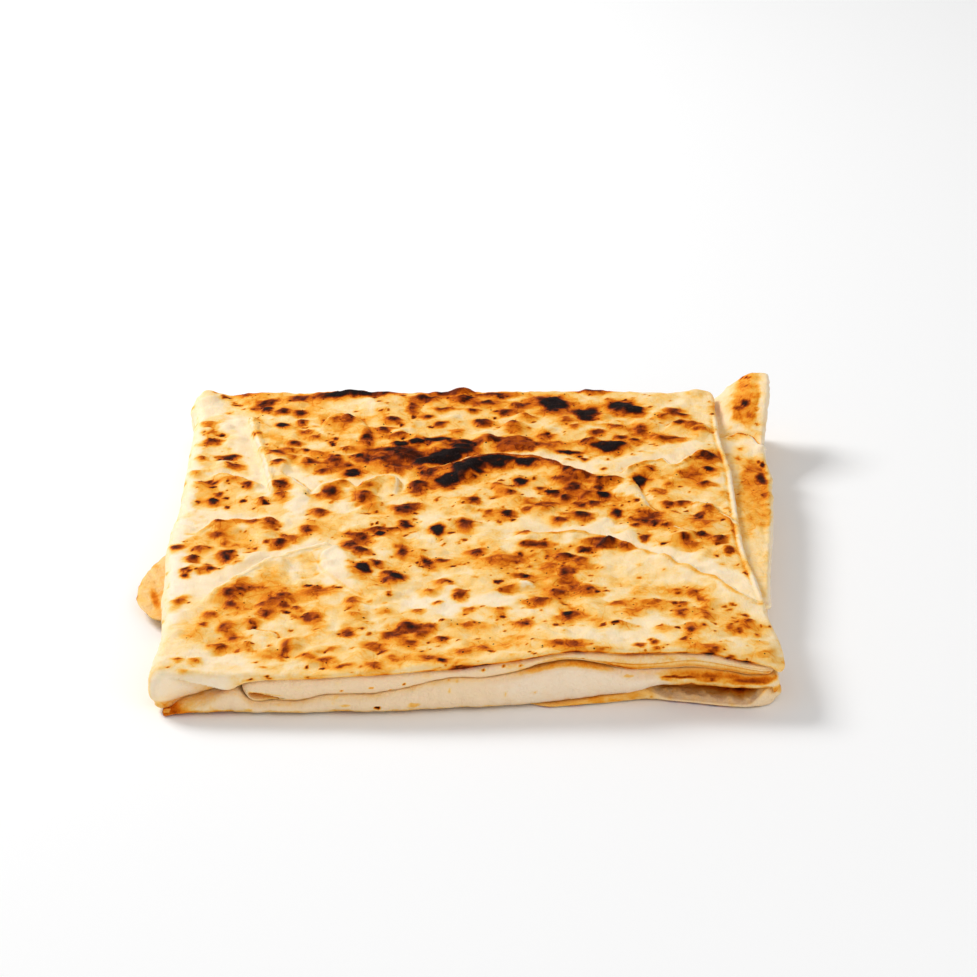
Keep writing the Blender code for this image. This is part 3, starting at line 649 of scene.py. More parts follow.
@dataclass
class HotPlate:
    """Where the upper side browned and blistered.

    Spots are laid out on a flat sheet, level high. They slide by sight for each millimetre that
    the real sheet stands higher or lower.
    """

    level: float = 15
    sight: float = 2.2
    plain: float = 0.23
    specks: int = 900
    bubbles: int = 520
    domes: Rows = ((14, -42, 10, 9, 1.1), (-46.5, -32, 16, 32, 1.2, 9))
    scab: tuple[float, ...] = (12, 70, 13, 17)

    def settle(self, y: Array, z: Array) -> Array:
        """Return where points of the real sheet lie on the flat one."""
        return y + self.sight * (z - self.level)

    @staticmethod
    def warped(x: Array, y: Array, amount: float) -> tuple[Array, Array]:
        """Shift points by grain, so that spots get ragged outlines.

        Args:
            x: Points across.
            y: Points along.
            amount: How far they shift.

        Returns:
            The shifted points.
        """
        shift_x = 1.7 * BROAD.at(x, y, 6.5) + 1.3 * BROAD.at(y, x, 2.7)
        shift_y = 1.7 * BROAD.at(x + 50, y, 6.5) + 1.3 * BROAD.at(y + 50, x, 2.7)
        return x + amount * shift_x, y + amount * shift_y

    @staticmethod
    def scatter(count: int, seed: int, low: float, high: float) -> Array:
        """Scatter small spots at random.

        Args:
            count: How many there are.
            seed: The seed of the draws.
            low: The least size.
            high: The greatest size.

        Returns:
            Rows of x, y, size, chance and turn in degrees.
        """
        draw = np.random.default_rng(seed)
        x = draw.uniform(-101, 90, count)
        y = draw.uniform(-112, 121, count)
        size = low + (high - low) * draw.uniform(0, 1, count) ** 2
        return np.stack([x, y, size, draw.uniform(0, 1, count), draw.uniform(0, 180, count)], 1)

    def tone(self, x: Array, y: Array) -> Array:
        """Return the broad tone under the spots.

        Args:
            x: Points across.
            y: Points along.

        Returns:
            How baked the ground is.
        """
        lumps = BROAD.layers(x, y, 17, 3)
        tone = self.plain + 0.13 * lumps
        near_x, near_y = self.warped(x, y, 2.2)
        for zone in ZONES:
            reach = turned(near_x, near_y, zone)
            tone = mix(tone, zone[4] + 0.16 * lumps, 0.8 * rise(1.25, 0.3, reach))
        for zone in PALE_ZONES:
            reach = turned(near_x, near_y, zone)
            tone = mix(tone, zone[4] + 0.05 * lumps, rise(1.25, 0.7, reach))
        return tone

    def bake(self, x: Array, y: Array) -> Array:
        """Return how baked the flat sheet is at points.

        Args:
            x: Points across.
            y: Points along.

        Returns:
            The browning, from 0 for raw cream to above 1 for black.
        """
        tone = self.tone(x, y)
        flow_x, flow_y = self.warped(x, y, 2.4)
        clouds = BROAD.layers(flow_x + 9, 0.8 * flow_y, 9, 2)
        near_x, near_y = self.warped(x, y, 0.75)
        heat, core = np.zeros_like(tone), np.zeros_like(tone)
        ragged = 1 + 0.34 * FINE.layers(x, y, 5, 2)
        crust = 1 + 0.3 * FINE.layers(x + 40, y, 3.4, 3)
        for spot in SCORCHES:
            far = 1.5 * max(spot[2], spot[3]) + 13
            pick = np.abs(x - spot[0]) + np.abs(y - spot[1]) < far
            lean = near_y[pick] - spot[1]
            lean = np.where(lean > 0, 0.5, -0.35) * lean * min(1, 7 / spot[3])
            fat = (spot[0], spot[1], 1.15 * spot[2] + 1.3, 1.15 * spot[3] + 1.3, *spot[4:])
            wide = (spot[0], spot[1] - 1, spot[2] + 6, spot[3] + 6, *spot[4:])
            reach = turned(near_x[pick], near_y[pick] + lean, fat) * ragged[pick]
            level = spot[4] * (1 - rise(0.35, 1.15, reach)) * crust[pick]
            skirt = 0.6 * min(spot[4] / DARK, 1) * (1 - rise(0.6, 1.8, reach))
            core[pick] = np.maximum(core[pick], np.maximum(level, skirt))
            heat[pick] += spot[4] * np.exp(-1.3 * turned(near_x[pick], near_y[pick], wide) ** 2)
        glow = 1 - np.exp(-0.8 * heat * (1 + 0.8 * clouds))
        baked = tone + 0.26 * clouds * rise(0.06, 0.3, tone) + 0.3 * glow * rise(-0.1, 0.25, tone)
        joined = np.sqrt((baked - core) ** 2 + 0.012)
        baked = 0.5 * (baked + core + joined)
        baked = baked * (1 + 0.1 * FINE.at(x, y, 2.4))
        for x0, y0, size, chance, turn in self.scatter(self.specks, 5, 0.8, 2.3):
            pick = np.abs(x - x0) + np.abs(y - y0) < 4 * size
            if not pick.any():
                continue
            reach = turned(near_x[pick], near_y[pick], (x0, y0, 1.5 * size, 1.2 * size, 0, turn))
            ground = baked[pick]
            level = mix(0.6, 0.95, chance) * rise(0.1, 0.3, ground)
            baked[pick] = np.maximum(ground + 0.08 * rise(2.6, 0.8, reach), level * rise(1.3, 0.45, reach))
        patch = rise(1.12, 0.95, turned(near_x, near_y, self.scab))
        return np.clip(mix(baked, 0.7 + 0.1 * FINE.at(x, y, 3), patch), 0, 1.15)

    def lift(self, x: Array, y: Array, baked: Array) -> Array:
        """Return the relief of blisters and wrinkles.

        Args:
            x: Points across.
            y: Points along.
            baked: How baked those points are.

        Returns:
            The relief in millimetres.
        """
        relief = 0.8 * BROAD.layers(x, y + 11, 21, 2) + 0.62 * BROAD.layers(x, y, 8.5, 2)
        relief = relief + 0.16 * FINE.layers(x, y, 2.8, 2)
        relief = relief - 0.3 * BROAD.ridges(x, 1.3 * y, 15) + 0.2 * FINE.ridges(x, y, 7)
        near_x, near_y = self.warped(x, y, 0.6)
        for k, spot in enumerate(SCORCHES):
            size = min(spot[2], spot[3])
            margin = 1.6 * max(spot[2], spot[3]) + 2
            pick = np.abs(x - spot[0]) + np.abs(y - spot[1]) < 1.4 * margin
            wide = (spot[0], spot[1] - 0.5, spot[2] + 2, spot[3] + 2, *spot[4:])
            height = min(0.2 * size, 1.1) * (0.65 + 0.35 * math.sin(1.7 * k + 1))
            relief[pick] += height * rise(1.25, 0.1, turned(near_x[pick], near_y[pick], wide))
        for x0, y0, size, chance, turn in self.scatter(self.bubbles, 8, 2.2, 8.5):
            pick = np.abs(x - x0) + np.abs(y - y0) < 2.2 * size
            if not pick.any():
                continue
            reach = turned(near_x[pick], near_y[pick], (x0, y0, 1.35 * size, size, 0, turn))
            height = (0.07 + 0.1 * chance) * size * (1 if chance > 0.3 else -0.8)
            relief[pick] += height * rise(1.2, 0.15, reach)
        for dome in self.domes:
            relief = relief + dome[4] * rise(1.15, 0.2, turned(near_x, near_y, dome))
        return relief + 0.1 * np.clip(baked - 0.7, 0, 0.4)


# ---- finishes
def colour(red: float, green: float, blue: float) -> Shade:
    """Return a display colour, given from 0 to 255, as linear light with a full alpha."""
    shares = (red / 255.0, green / 255.0, blue / 255.0)
    return (*(s / 12.92 if s < 0.04045 else ((s + 0.055) / 1.055) ** 2.4 for s in shares), 1.0)


class Wire:
    """A socket whose arithmetic adds Math nodes to its bench."""

    def __init__(self, bench: "Bench", socket: Socket) -> None:
        """Wrap a socket."""
        self.bench, self.socket = bench, socket

    def math(self, operation: str, *values: Any) -> "Wire":
        """Return the result of a Math node on values."""
        return self.bench.node("ShaderNodeMath", {"operation": operation}, dict(enumerate(values)))

    def __add__(self, other: Any) -> "Wire":
        """Return self + other."""
        return self.math("ADD", self, other)

    def __sub__(self, other: Any) -> "Wire":
        """Return self - other."""
        return self.math("SUBTRACT", self, other)

    def __rsub__(self, other: Any) -> "Wire":
        """Return other - self."""
        return self.math("SUBTRACT", other, self)

    def __mul__(self, other: Any) -> "Wire":
        """Return self * other."""
        return self.math("MULTIPLY", self, other)

    __radd__ = __add__
    __rmul__ = __mul__

    def climb(self, start: float, end: float, low: float = 0.0, high: float = 1.0) -> "Wire":
        """Climb smoothly with the value.

        Args:
            start: Where the climb starts. It may be above end.
            end: Where the climb ends.
            low: The value at the start.
            high: The value at the end.

        Returns:
            The climb.
        """
        settings = {"interpolation_type": "SMOOTHSTEP"}
        if start > end:
            start, end, low, high = end, start, high, low
        values = {"Value": self, "From Min": start, "From Max": end, "To Min": low, "To Max": high}
        return self.bench.node("ShaderNodeMapRange", settings, values)


class Bench:
    """A node tree, and the one way its nodes are added."""

    def __init__(self, tree: bpy.types.NodeTree) -> None:
        """Take a tree."""
        self.tree = tree

    def feed(self, socket: Socket, value: Any) -> None:
        """Link a wire to a socket, or set its value.

        Args:
            socket: The socket.
            value: The wire, or the plain value, such as a number, a colour or an object.
        """
        if isinstance(value, Wire):
            self.tree.links.new(value.socket, socket)
        else:
            socket.default_value = value

    def node(self, kind: str, settings: dict[str, Any], values: dict[Any, Any], output: Any = 0) -> Wire:
        """Add a node.

        Args:
            kind: The node's type.
            settings: Its settings. The key stops gives a colour ramp's stops.
            values: Values or wires for its sockets, by name or number.
            output: The output that is wanted, by name or number.

        Returns:
            A wire from that output.
        """
        node = self.tree.nodes.new(kind)
        for name, value in settings.items():
            if name == "stops":
                self.fill_ramp(node.color_ramp, value)
            else:
                setattr(node, name, value)
        for name, value in values.items():
            self.feed(node.inputs[name], value)
        return Wire(self, node.outputs[output])

    @staticmethod
    def fill_ramp(ramp: bpy.types.ColorRamp, stops: Sequence[tuple[float, tuple]]) -> None:
        """Set a colour ramp's stops.

        Args:
            ramp: The ramp.
            stops: The places and colours of its stops.
        """
        while len(ramp.elements) < len(stops):
            ramp.elements.new(0.5)
        for element, (position, shade) in zip(ramp.elements, stops):
            element.position, element.color = position, shade


class DressBench(Bench):
    """A material's node tree, with a principled shader."""

    def __init__(self, name: str) -> None:
        """Start a material.

        Args:
            name: Its name.
        """
        self.material = bpy.data.materials.new(name)
        self.material.use_nodes = True
        super().__init__(self.material.node_tree)
        self.shader = self.tree.nodes["Principled BSDF"]
        self.place = self.node("ShaderNodeTexCoord", {}, {}, "Object")

    def attribute(self, name: str) -> Wire:
        """Return a number that is painted on the mesh."""
        return self.node("ShaderNodeAttribute", {"attribute_name": name}, {}, "Fac")

    def noise(self, scale: float, detail: float = 2.0, roughness: float = 0.5, bend: float = 0.0,
              place: "Wire | None" = None) -> Wire:
        """Add noise.

        Args:
            scale: How wide its lumps are, in millimetres.
            detail: How many finer layers it has.
            roughness: How strong those are.
            bend: How much it curls.
            place: Where it is read, if that isn't the plain place on the piece.

        Returns:
            The noise, 0 to 1.
        """
        values = {"Vector": place or self.place, "Scale": 1.0 / (scale * MM), "Detail": detail,
                  "Roughness": roughness, "Distortion": bend}
        return self.node("ShaderNodeTexNoise", {}, values, "Fac")

    def cells(self, scale: float) -> Wire:
        """Return the distance to scattered points about scale millimetres apart, in cells."""
        values = {"Vector": self.place, "Scale": 1.0 / (scale * MM), "Randomness": 1.0}
        return self.node("ShaderNodeTexVoronoi", {"feature": "F1"}, values, "Distance")

    def blend(self, share: Any, first: Any, second: Any) -> Wire:
        """Return a blend of two colours."""
        return self.node("ShaderNodeMix", {"data_type": "RGBA"}, {0: share, 6: first, 7: second}, 2)

    def ramp(self, value: Wire, stops: Sequence[tuple[float, tuple]]) -> Wire:
        """Return colours along a ramp."""
        return self.node("ShaderNodeValToRGB", {"stops": stops}, {"Fac": value}, "Color")

    def finish(self, base: Wire, roughness: Wire, height: Wire, depth: float) -> Material:
        """Connect colour, roughness and bump to the shader.

        Args:
            base: The colour.
            roughness: The roughness.
            height: The bump's height, 0 to about 1.
            depth: What a height of 1 stands for, in millimetres.

        Returns:
            The finished material.
        """
        bump = self.node("ShaderNodeBump", {}, {"Height": height, "Distance": depth * MM, "Strength": 1.0})
        self.set({"Base Color": base, "Roughness": roughness, "Normal": bump})
        return self.material

    def set(self, values: dict[str, Any]) -> None:
        """Feed the shader's sockets by name."""
        for name, value in values.items():
            self.feed(self.shader.inputs[name], value)


# Dough colours by how baked it is.
BAKED = (
    (0.00, colour(252, 235, 212)), (0.1, colour(251, 228, 193)), (0.22, colour(250, 216, 157)),
    (0.34, colour(248, 198, 112)), (0.45, colour(243, 168, 56)), (0.54, colour(230, 130, 20)),
    (0.63, colour(192, 88, 4)), (0.73, colour(132, 48, 1)), (0.83, colour(78, 25, 2)),
    (0.92, colour(40, 16, 7)), (1.00, colour(24, 15, 14)),
)


@dataclass(frozen=True)
class DoughFinish:
    """Thin dough, from raw cream to char, as painted in the attribute bake."""

    name: str
    raw: Shade = colour(249, 236, 212)
    rawness: float = 0.0
    mottle: float = 0.1
    pinholes: float = 0.5
    roughness: float = 0.56
    bump: float = 0.28
    gleam: float = 0.04
    glow: float = 0.0
    glow_depth: float = 1.2
    glow_reach: tuple[float, float, float] = (1.0, 0.45, 0.2)
    wrinkled: float = 0.0

    def make(self) -> Material:
        """Build the material.

        Returns:
            The material.
        """
        bench = DressBench(self.name)
        bake, edge, hold, dip_shade = (bench.attribute(name) for name in ("bake", "edge", "edge_hold", "edge_dip_shade"))
        mid, fine = bench.noise(2.1, 3.0, 0.6, 0.4), bench.noise(0.7, 2.0, 0.6)
        ragged = (mid - 0.5) * self.mottle * 1.6 + (fine - 0.5) * self.mottle
        baked = bake + ragged * bake.climb(0.02, 0.3, 0.25, 1.0)
        # A pinhole's rim is brown, and there are more of them where the dough is toasted.
        chance = bench.noise(16.0, 2.0).climb(0.42, 0.66)
        near = bench.cells(4.3)
        reach = chance * bake.climb(0.06, 0.4, 0.25, 1.0)
        hole = near.climb(0.13, 0.07) * reach * self.pinholes
        ring = near.climb(0.3, 0.1) * reach * (0.3 * self.pinholes)
        baked = baked + ring * 0.5 + hole * 0.55
        # Along a crease the rim is rubbed pale, and the dip behind it gets a thin brown line of painted
        # shade.
        broken = bench.noise(7.0, 2.0).climb(0.3, 0.5) * hold
        rim = edge.climb(-0.35, 0.0) * edge.climb(1.3, 0.7) * broken
        dip = edge.climb(-1.9, -1.0) * edge.climb(-0.2, -0.8) * dip_shade
        baked = baked * (1.0 - 0.6 * rim) + dip * (0.1 + 0.4 * mid)
        # Fine wrinkles of the skin are a little browner than the ground beside them.
        swirl = bench.noise(6.0, 1.0, 0.5, 0.7)
        lines = swirl.climb(0.45, 0.5) * swirl.climb(0.55, 0.5) * self.wrinkled
        baked = baked + lines * 0.07 * bake.climb(0.1, 0.35)
        shade = bench.ramp(baked, BAKED)
        if self.rawness > 0.0:
            share = baked.climb(0.1, 0.34, self.rawness, 0.0) * baked.climb(-0.06, 0.07, 0.25, 1.0)
            shade = bench.blend(share, shade, self.raw)
        # Patches of the darkest skin turn red brown, and char gets a painted grey sheen.
        warm = bench.noise(9.0, 2.0).climb(0.55, 0.7) * bake.climb(0.6, 0.7) * bake.climb(0.95, 0.8)
        shade = bench.blend(warm * 0.25, shade, colour(146, 58, 26))
        char_sheen = fine.climb(0.5, 0.8) * bake.climb(0.92, 1.05)
        shade = bench.blend(char_sheen * 0.3, shade, colour(84, 66, 66))
        gloss = bench.noise(6.0, 2.0).climb(0.3, 0.7, self.roughness + 0.08, self.roughness - 0.06)
        gloss = gloss + 0.06 * bake.climb(0.75, 1.0)
        pores = bench.noise(0.45, 2.0, 0.6)
        skin = bench.node("ShaderNodeMapping", {}, {"Vector": bench.place, "Scale": (1.0, 0.45, 1.0)})
        wrinkle = bench.noise(1.6, 3.0, 0.55, 1.2, skin)
        height = wrinkle * 0.9 + mid * 0.6 + pores * 0.22 + hole * -0.8 + fine * 0.3
        height = height + edge.climb(-0.45, 0.3) * hold * 1.3
        bench.set({"Specular IOR Level": self.gleam, "Subsurface Weight": self.glow,
                   "Subsurface Radius": self.glow_reach, "Subsurface Scale": self.glow_depth * MM})
        return bench.finish(shade, gloss, height, self.bump)


@dataclass(frozen=True)
class FloorFinish:
    """A plain matte floor."""

    name: str = "pale_floor"
    shade: Shade = colour(250, 250, 250)
    roughness: float = 0.9
    gleam: float = 0.1

    def make(self) -> Material:
        """Build the material.

        Returns:
            The material.
        """
        bench = DressBench(self.name)
        bench.set({"Base Color": self.shade, "Roughness": self.roughness, "Specular IOR Level": self.gleam})
        return bench.material


# ---- slabs
class Underside(Enum):
    """How many lines of the upper face one line of the lower face stands for."""

    FINE = 1
    COARSE = 4


def band(start: float, end: float, pitch: float, growth: float = 1) -> list[float]:
    """Place grid lines one after another.

    Args:
        start: Where the first gap starts.
        end: Where they stop.
        pitch: How wide the first gap is.
        growth: How much wider each gap is than the one before.

    Returns:
        The distances of the lines.
    """
    places = []
    place = start + pitch
    while place <= end:
        places.append(place)
        pitch *= growth
        place += pitch
    return places


def nose(radius: float, steps: int, end: float = 0, pitch: float = 1, growth: float = 1) -> list[float]:
    """Return the distances of grid lines from a rim: steps round its radius, then a band up to end."""
    round_lines = [radius * (1 - math.cos(0.5 * math.pi * k / steps)) for k in range(steps + 1)]
    return round_lines + band(radius, end, pitch, growth)


def rounding(distance: Array, radius: Any) -> Array:
    """Return 0 on a rim and 1 past its radius, along a quarter circle."""
    t = 1 - np.clip(distance / radius, 0, 1)
    return np.sqrt(np.clip(1 - t * t, 0, 1))


@dataclass
class Skin:
    """The points of a slab while it is shaped: places, normals, and whether they lie on top."""

    place: Array
    normal: Array
    upper: Array

    @property
    def up(self) -> Array:
        """Return how far each normal points up."""
        return self.normal[:, 2]

    def ahead(self, start: float, end: float) -> Array:
        """Return 1 on what faces the front by more than end, and 0 by less than start."""
        return rise(start, end, -self.normal[:, 1])

    def wrap(self) -> tuple[Array, Array]:
        """Return places on the skin that run on round its folds."""
        x, y, z = self.place.T
        return x + 0.9 * z, y + 1.3 * z

    def patches(self, level: float, stain: float, shift: float) -> Array:
        """Return a mild uneven tone for skin that barely touched the plate.

        Args:
            level: The tone that most of it has.
            stain: How much deeper its stains are.
            shift: A shift that gives each ply its own pattern.

        Returns:
            How baked each point is.
        """
        u, v = self.wrap()
        lumps = BROAD.layers(u + shift, v, 12, 3)
        spots = FINE.layers(u, v + shift, 6, 2)
        return np.clip(level + 0.1 * lumps + stain * rise(0.18, 0.5, spots), 0, 1)

    def unmarked(self) -> dict[str, Array]:
        """Return the numbers that the finish reads, for raw dough without creases."""
        none = np.zeros(len(self.place))
        return {"bake": none, "edge": none + MARK_REACH, "edge_hold": none, "edge_dip_shade": none}


def steady(height: float) -> Callable[..., Array]:
    """Return a line or a face that stays at one height."""
    return lambda *places: height + 0 * places[0]


@dataclass
class Slab:
    """A closed sheet between four outlines and two height fields."""

    outlines: tuple[Line, Line, Line, Line]
    faces: tuple[Field, Field]
    radii: tuple[Any, Any, Any, Any]
    near_x: list[float]
    far_x: list[float]
    near_y: list[float]
    far_y: list[float]
    pitch: float
    corner: float
    underside: Underside = Underside.FINE
    right_corner: float = 3.5

    def lines(self, near: list[float], far: list[float], span: float) -> Array:
        """Place the grid lines of one direction.

        Args:
            near: Distances of the first lines from the near outline.
            far: Distances of the last lines from the far outline.
            span: Distance between the outlines.

        Returns:
            Rows of distance from the near outline, distance from the far one, and share of each.
        """
        stride = Underside.COARSE.value
        inner = max(round((span - near[-1] - far[-1]) / self.pitch / stride), 1) * stride - 1
        rows = [(d, 0, 0) for d in near]
        rows += [(near[-1], far[-1], (k + 1) / (inner + 1)) for k in range(inner)]
        rows += [(0, d, 1) for d in reversed(far)]
        return np.array(rows)

    def plan(self) -> tuple[Array, Array]:
        """Lay the grid out in plan.

        Returns:
            The grid's places across and along.
        """
        left, right, front, rear = self.outlines
        zero = np.zeros(1)
        columns = self.lines(self.near_x, self.far_x, float((right(zero) - left(zero))[0]))
        rows = self.lines(self.near_y, self.far_y, float((rear(zero) - front(zero))[0]))
        a, b, f = (columns[:, k][:, None] for k in range(3))
        c, d, g = (rows[:, k][None, :] for k in range(3))
        y = (front(zero) + c) * (1 - g) + (rear(zero) - d) * g + 0 * a
        for _ in range(4):
            x = (left(y) + a) * (1 - f) + (right(y) - b) * f
            y = (front(x) + c) * (1 - g) + (rear(x) - d) * g
        return x, y

    def round_corner(self, x: Array, y: Array, margins: list[Array]) -> tuple[Array, Array]:
        """Pull the plan's corners into arcs.

        Args:
            x: Grid places across.
            y: Grid places along.
            margins: Distances from the left, right, front and rear outlines.

        Returns:
            The new places.
        """
        side = np.minimum(margins[0], margins[1])
        end = np.minimum(margins[2], margins[3])
        x_sign = np.where(margins[0] < margins[1], 1, -1)
        y_sign = np.where(margins[2] < margins[3], 1, -1)
        corner = np.where((x_sign < 0) & (y_sign > 0), self.right_corner, self.corner)
        inside = (side < corner) & (end < corner)
        qx, qy = 1 - side / corner, 1 - end / corner
        new_side = corner * (1 - qx * np.sqrt(np.clip(1 - 0.5 * qy * qy, 0, 1)))
        new_end = corner * (1 - qy * np.sqrt(np.clip(1 - 0.5 * qx * qx, 0, 1)))
        x = x + np.where(inside, x_sign * (new_side - side), 0)
        return x, y + np.where(inside, y_sign * (new_end - end), 0)

    def build(self) -> Shell:
        """Shape the slab.

        Returns:
            The points, the faces, and a mark of which points lie on the upper face.
        """
        x, y = self.plan()
        left, right, front, rear = self.outlines
        margins = [np.clip(m, 0, None) for m in (x - left(y), right(y) - x, y - front(x), rear(x) - y)]
        low, high = (face(x, y) for face in self.faces)
        fullness = np.ones_like(x)
        for margin, radius in zip(margins, self.radii):
            fullness = fullness * rounding(margin, radius(x) if callable(radius) else radius)
        middle, half = 0.5 * (low + high), 0.5 * (high - low) * fullness
        x, y = self.round_corner(x, y, margins)
        count_x, count_y = x.shape
        kept = (len(self.near_x) - 1, count_x - len(self.far_x),
                len(self.near_y) - 1, count_y - len(self.far_y))
        i, j = np.meshgrid(np.arange(count_x), np.arange(count_y), indexing="ij")
        stride = self.underside.value
        coarse = ((i - kept[0]) % stride == 0) & ((j - kept[2]) % stride == 0)
        rings = (i <= kept[0]) | (i >= kept[1]) | (j <= kept[2]) | (j >= kept[3])
        rim = (i == 0) | (i == count_x - 1) | (j == 0) | (j == count_y - 1)
        used = (rings | coarse) & ~rim
        upper = np.arange(x.size).reshape(x.shape)
        lower = np.where(rim, upper, -1)
        lower[used] = x.size + np.arange(int(used.sum()))
        tops = np.stack([x, y, middle + half], -1).reshape(-1, 3)
        bottoms = np.stack([x, y, middle - half], -1)[used]
        faces = self.quads(upper, np.ones((count_x - 1, count_y - 1), bool), False)
        banded = np.ones((count_x - 1, count_y - 1), bool)
        banded[kept[0]:kept[1], kept[2]:kept[3]] = False
        faces += self.quads(lower, banded, True)
        faces += self.cells(lower, kept, stride)
        on_top = np.concatenate([np.ones(len(tops), bool), np.zeros(len(bottoms), bool)])
        return np.vstack([tops, bottoms]), faces, on_top

    @staticmethod
    def quads(index: Array, wanted: Array, flipped: bool) -> list[tuple[int, ...]]:
        """Make a face of each wanted grid cell.

        Args:
            index: The numbers of the grid's points.
            wanted: Which cells get a face.
            flipped: Whether the faces look down.

        Returns:
            The faces.
        """
        corners = [index[:-1, :-1], index[1:, :-1], index[1:, 1:], index[:-1, 1:]]
        table = np.stack([corner[wanted] for corner in corners], -1)
        return [tuple(row) for row in (table[:, ::-1] if flipped else table).tolist()]

    @staticmethod
    def cells(index: Array, kept: tuple[int, int, int, int], stride: int) -> list[tuple[int, ...]]:
        """Make the lower side's inner faces, which meet every point of its rings.

        Args:
            index: The numbers of the grid's points.
            kept: The first and last inner lines across, and along.
            stride: How many lines a face spans.

        Returns:
            The faces.
        """
        first_x, last_x, first_y, last_y = kept
        faces = []
        for i in range(first_x, last_x, stride):
            for j in range(first_y, last_y, stride):
                far_i, far_j = i + stride, j + stride
                front = range(i, far_i) if j == first_y else (i,)
                right = range(j, far_j) if far_i == last_x else (j,)
                back = range(far_i, i, -1) if far_j == last_y else (far_i,)
                left = range(far_j, j, -1) if i == first_x else (far_j,)
                ring = [index[k, j] for k in front] + [index[far_i, k] for k in right]
                ring += [index[k, far_j] for k in back] + [index[i, k] for k in left]
                faces.append(tuple(int(k) for k in ring[::-1]))
        return faces


# ---- the plies
# How far every point stays above the floor, and how far the marks of a crease reach beside it.
CLEARANCE, MARK_REACH = 0.02, 3
# Further from a crease than any point lies.
FAR_OFF = 99


def stand(name: str, data: Any) -> Piece:
    """Put a new object into the scene.

    Args:
        name: Its name.
        data: Its mesh, light or camera.

    Returns:
        The object.
    """
    thing = bpy.data.objects.new(name, data)
    bpy.context.scene.collection.objects.link(thing)
    return thing


@dataclass
class Ply:
    """A ply of dough that becomes one piece and stands for the solid of the same name."""

    node: str
    slot: str
    material: Material
    plate: HotPlate

    def slab(self) -> "Slab | Leaf":
        """Return the ply's plain shape."""
        raise NotImplementedError

    def relief(self, skin: Skin) -> Array:
        """Return how far each point moves out along its normal."""
        raise NotImplementedError

    def paint(self, skin: Skin) -> dict[str, Array]:
        """Return the numbers that the finish reads at each point."""
        raise NotImplementedError

    def adjust(self, skin: Skin) -> Array:
        """Return the final places after the relief."""
        return skin.place

    def build(self) -> Piece:
        """Make the piece, put it under the root body, and hide the solid of the same name.

        Returns:
            The finished piece.
        """
        name = f"{self.node}_skin"
        points, faces, on_top = self.slab().build()
        mesh = bpy.data.meshes.new(name)
        mesh.from_pydata(points.tolist(), [], faces)
        normals = np.empty(3 * len(points), np.float32)
        mesh.vertex_normals.foreach_get("vector", normals)
        skin = Skin(points, normals.reshape(-1, 3).astype(float), on_top)
        painted = {**skin.unmarked(), **self.paint(skin)}
        skin.place = points + skin.normal * self.relief(skin)[:, None]
        places = self.adjust(skin)
        places[:, 2] = np.maximum(places[:, 2], CLEARANCE)
        places = (places + (SHIFT_X, SHIFT_Y, 0)) * MM
        mesh.vertices.foreach_set("co", places.ravel())
        for number, values in painted.items():
            layer = mesh.attributes.new(number, "FLOAT", "POINT")
            layer.data.foreach_set("value", np.ascontiguousarray(values, np.float32))
        mesh.update()
        mesh.shade_smooth()
        mesh.materials.append(self.material)
        piece = stand(name, mesh)
        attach(piece, "root")
        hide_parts(self.node)
        LOG.info("%s: %d faces", piece.name, len(mesh.polygons))
        return piece


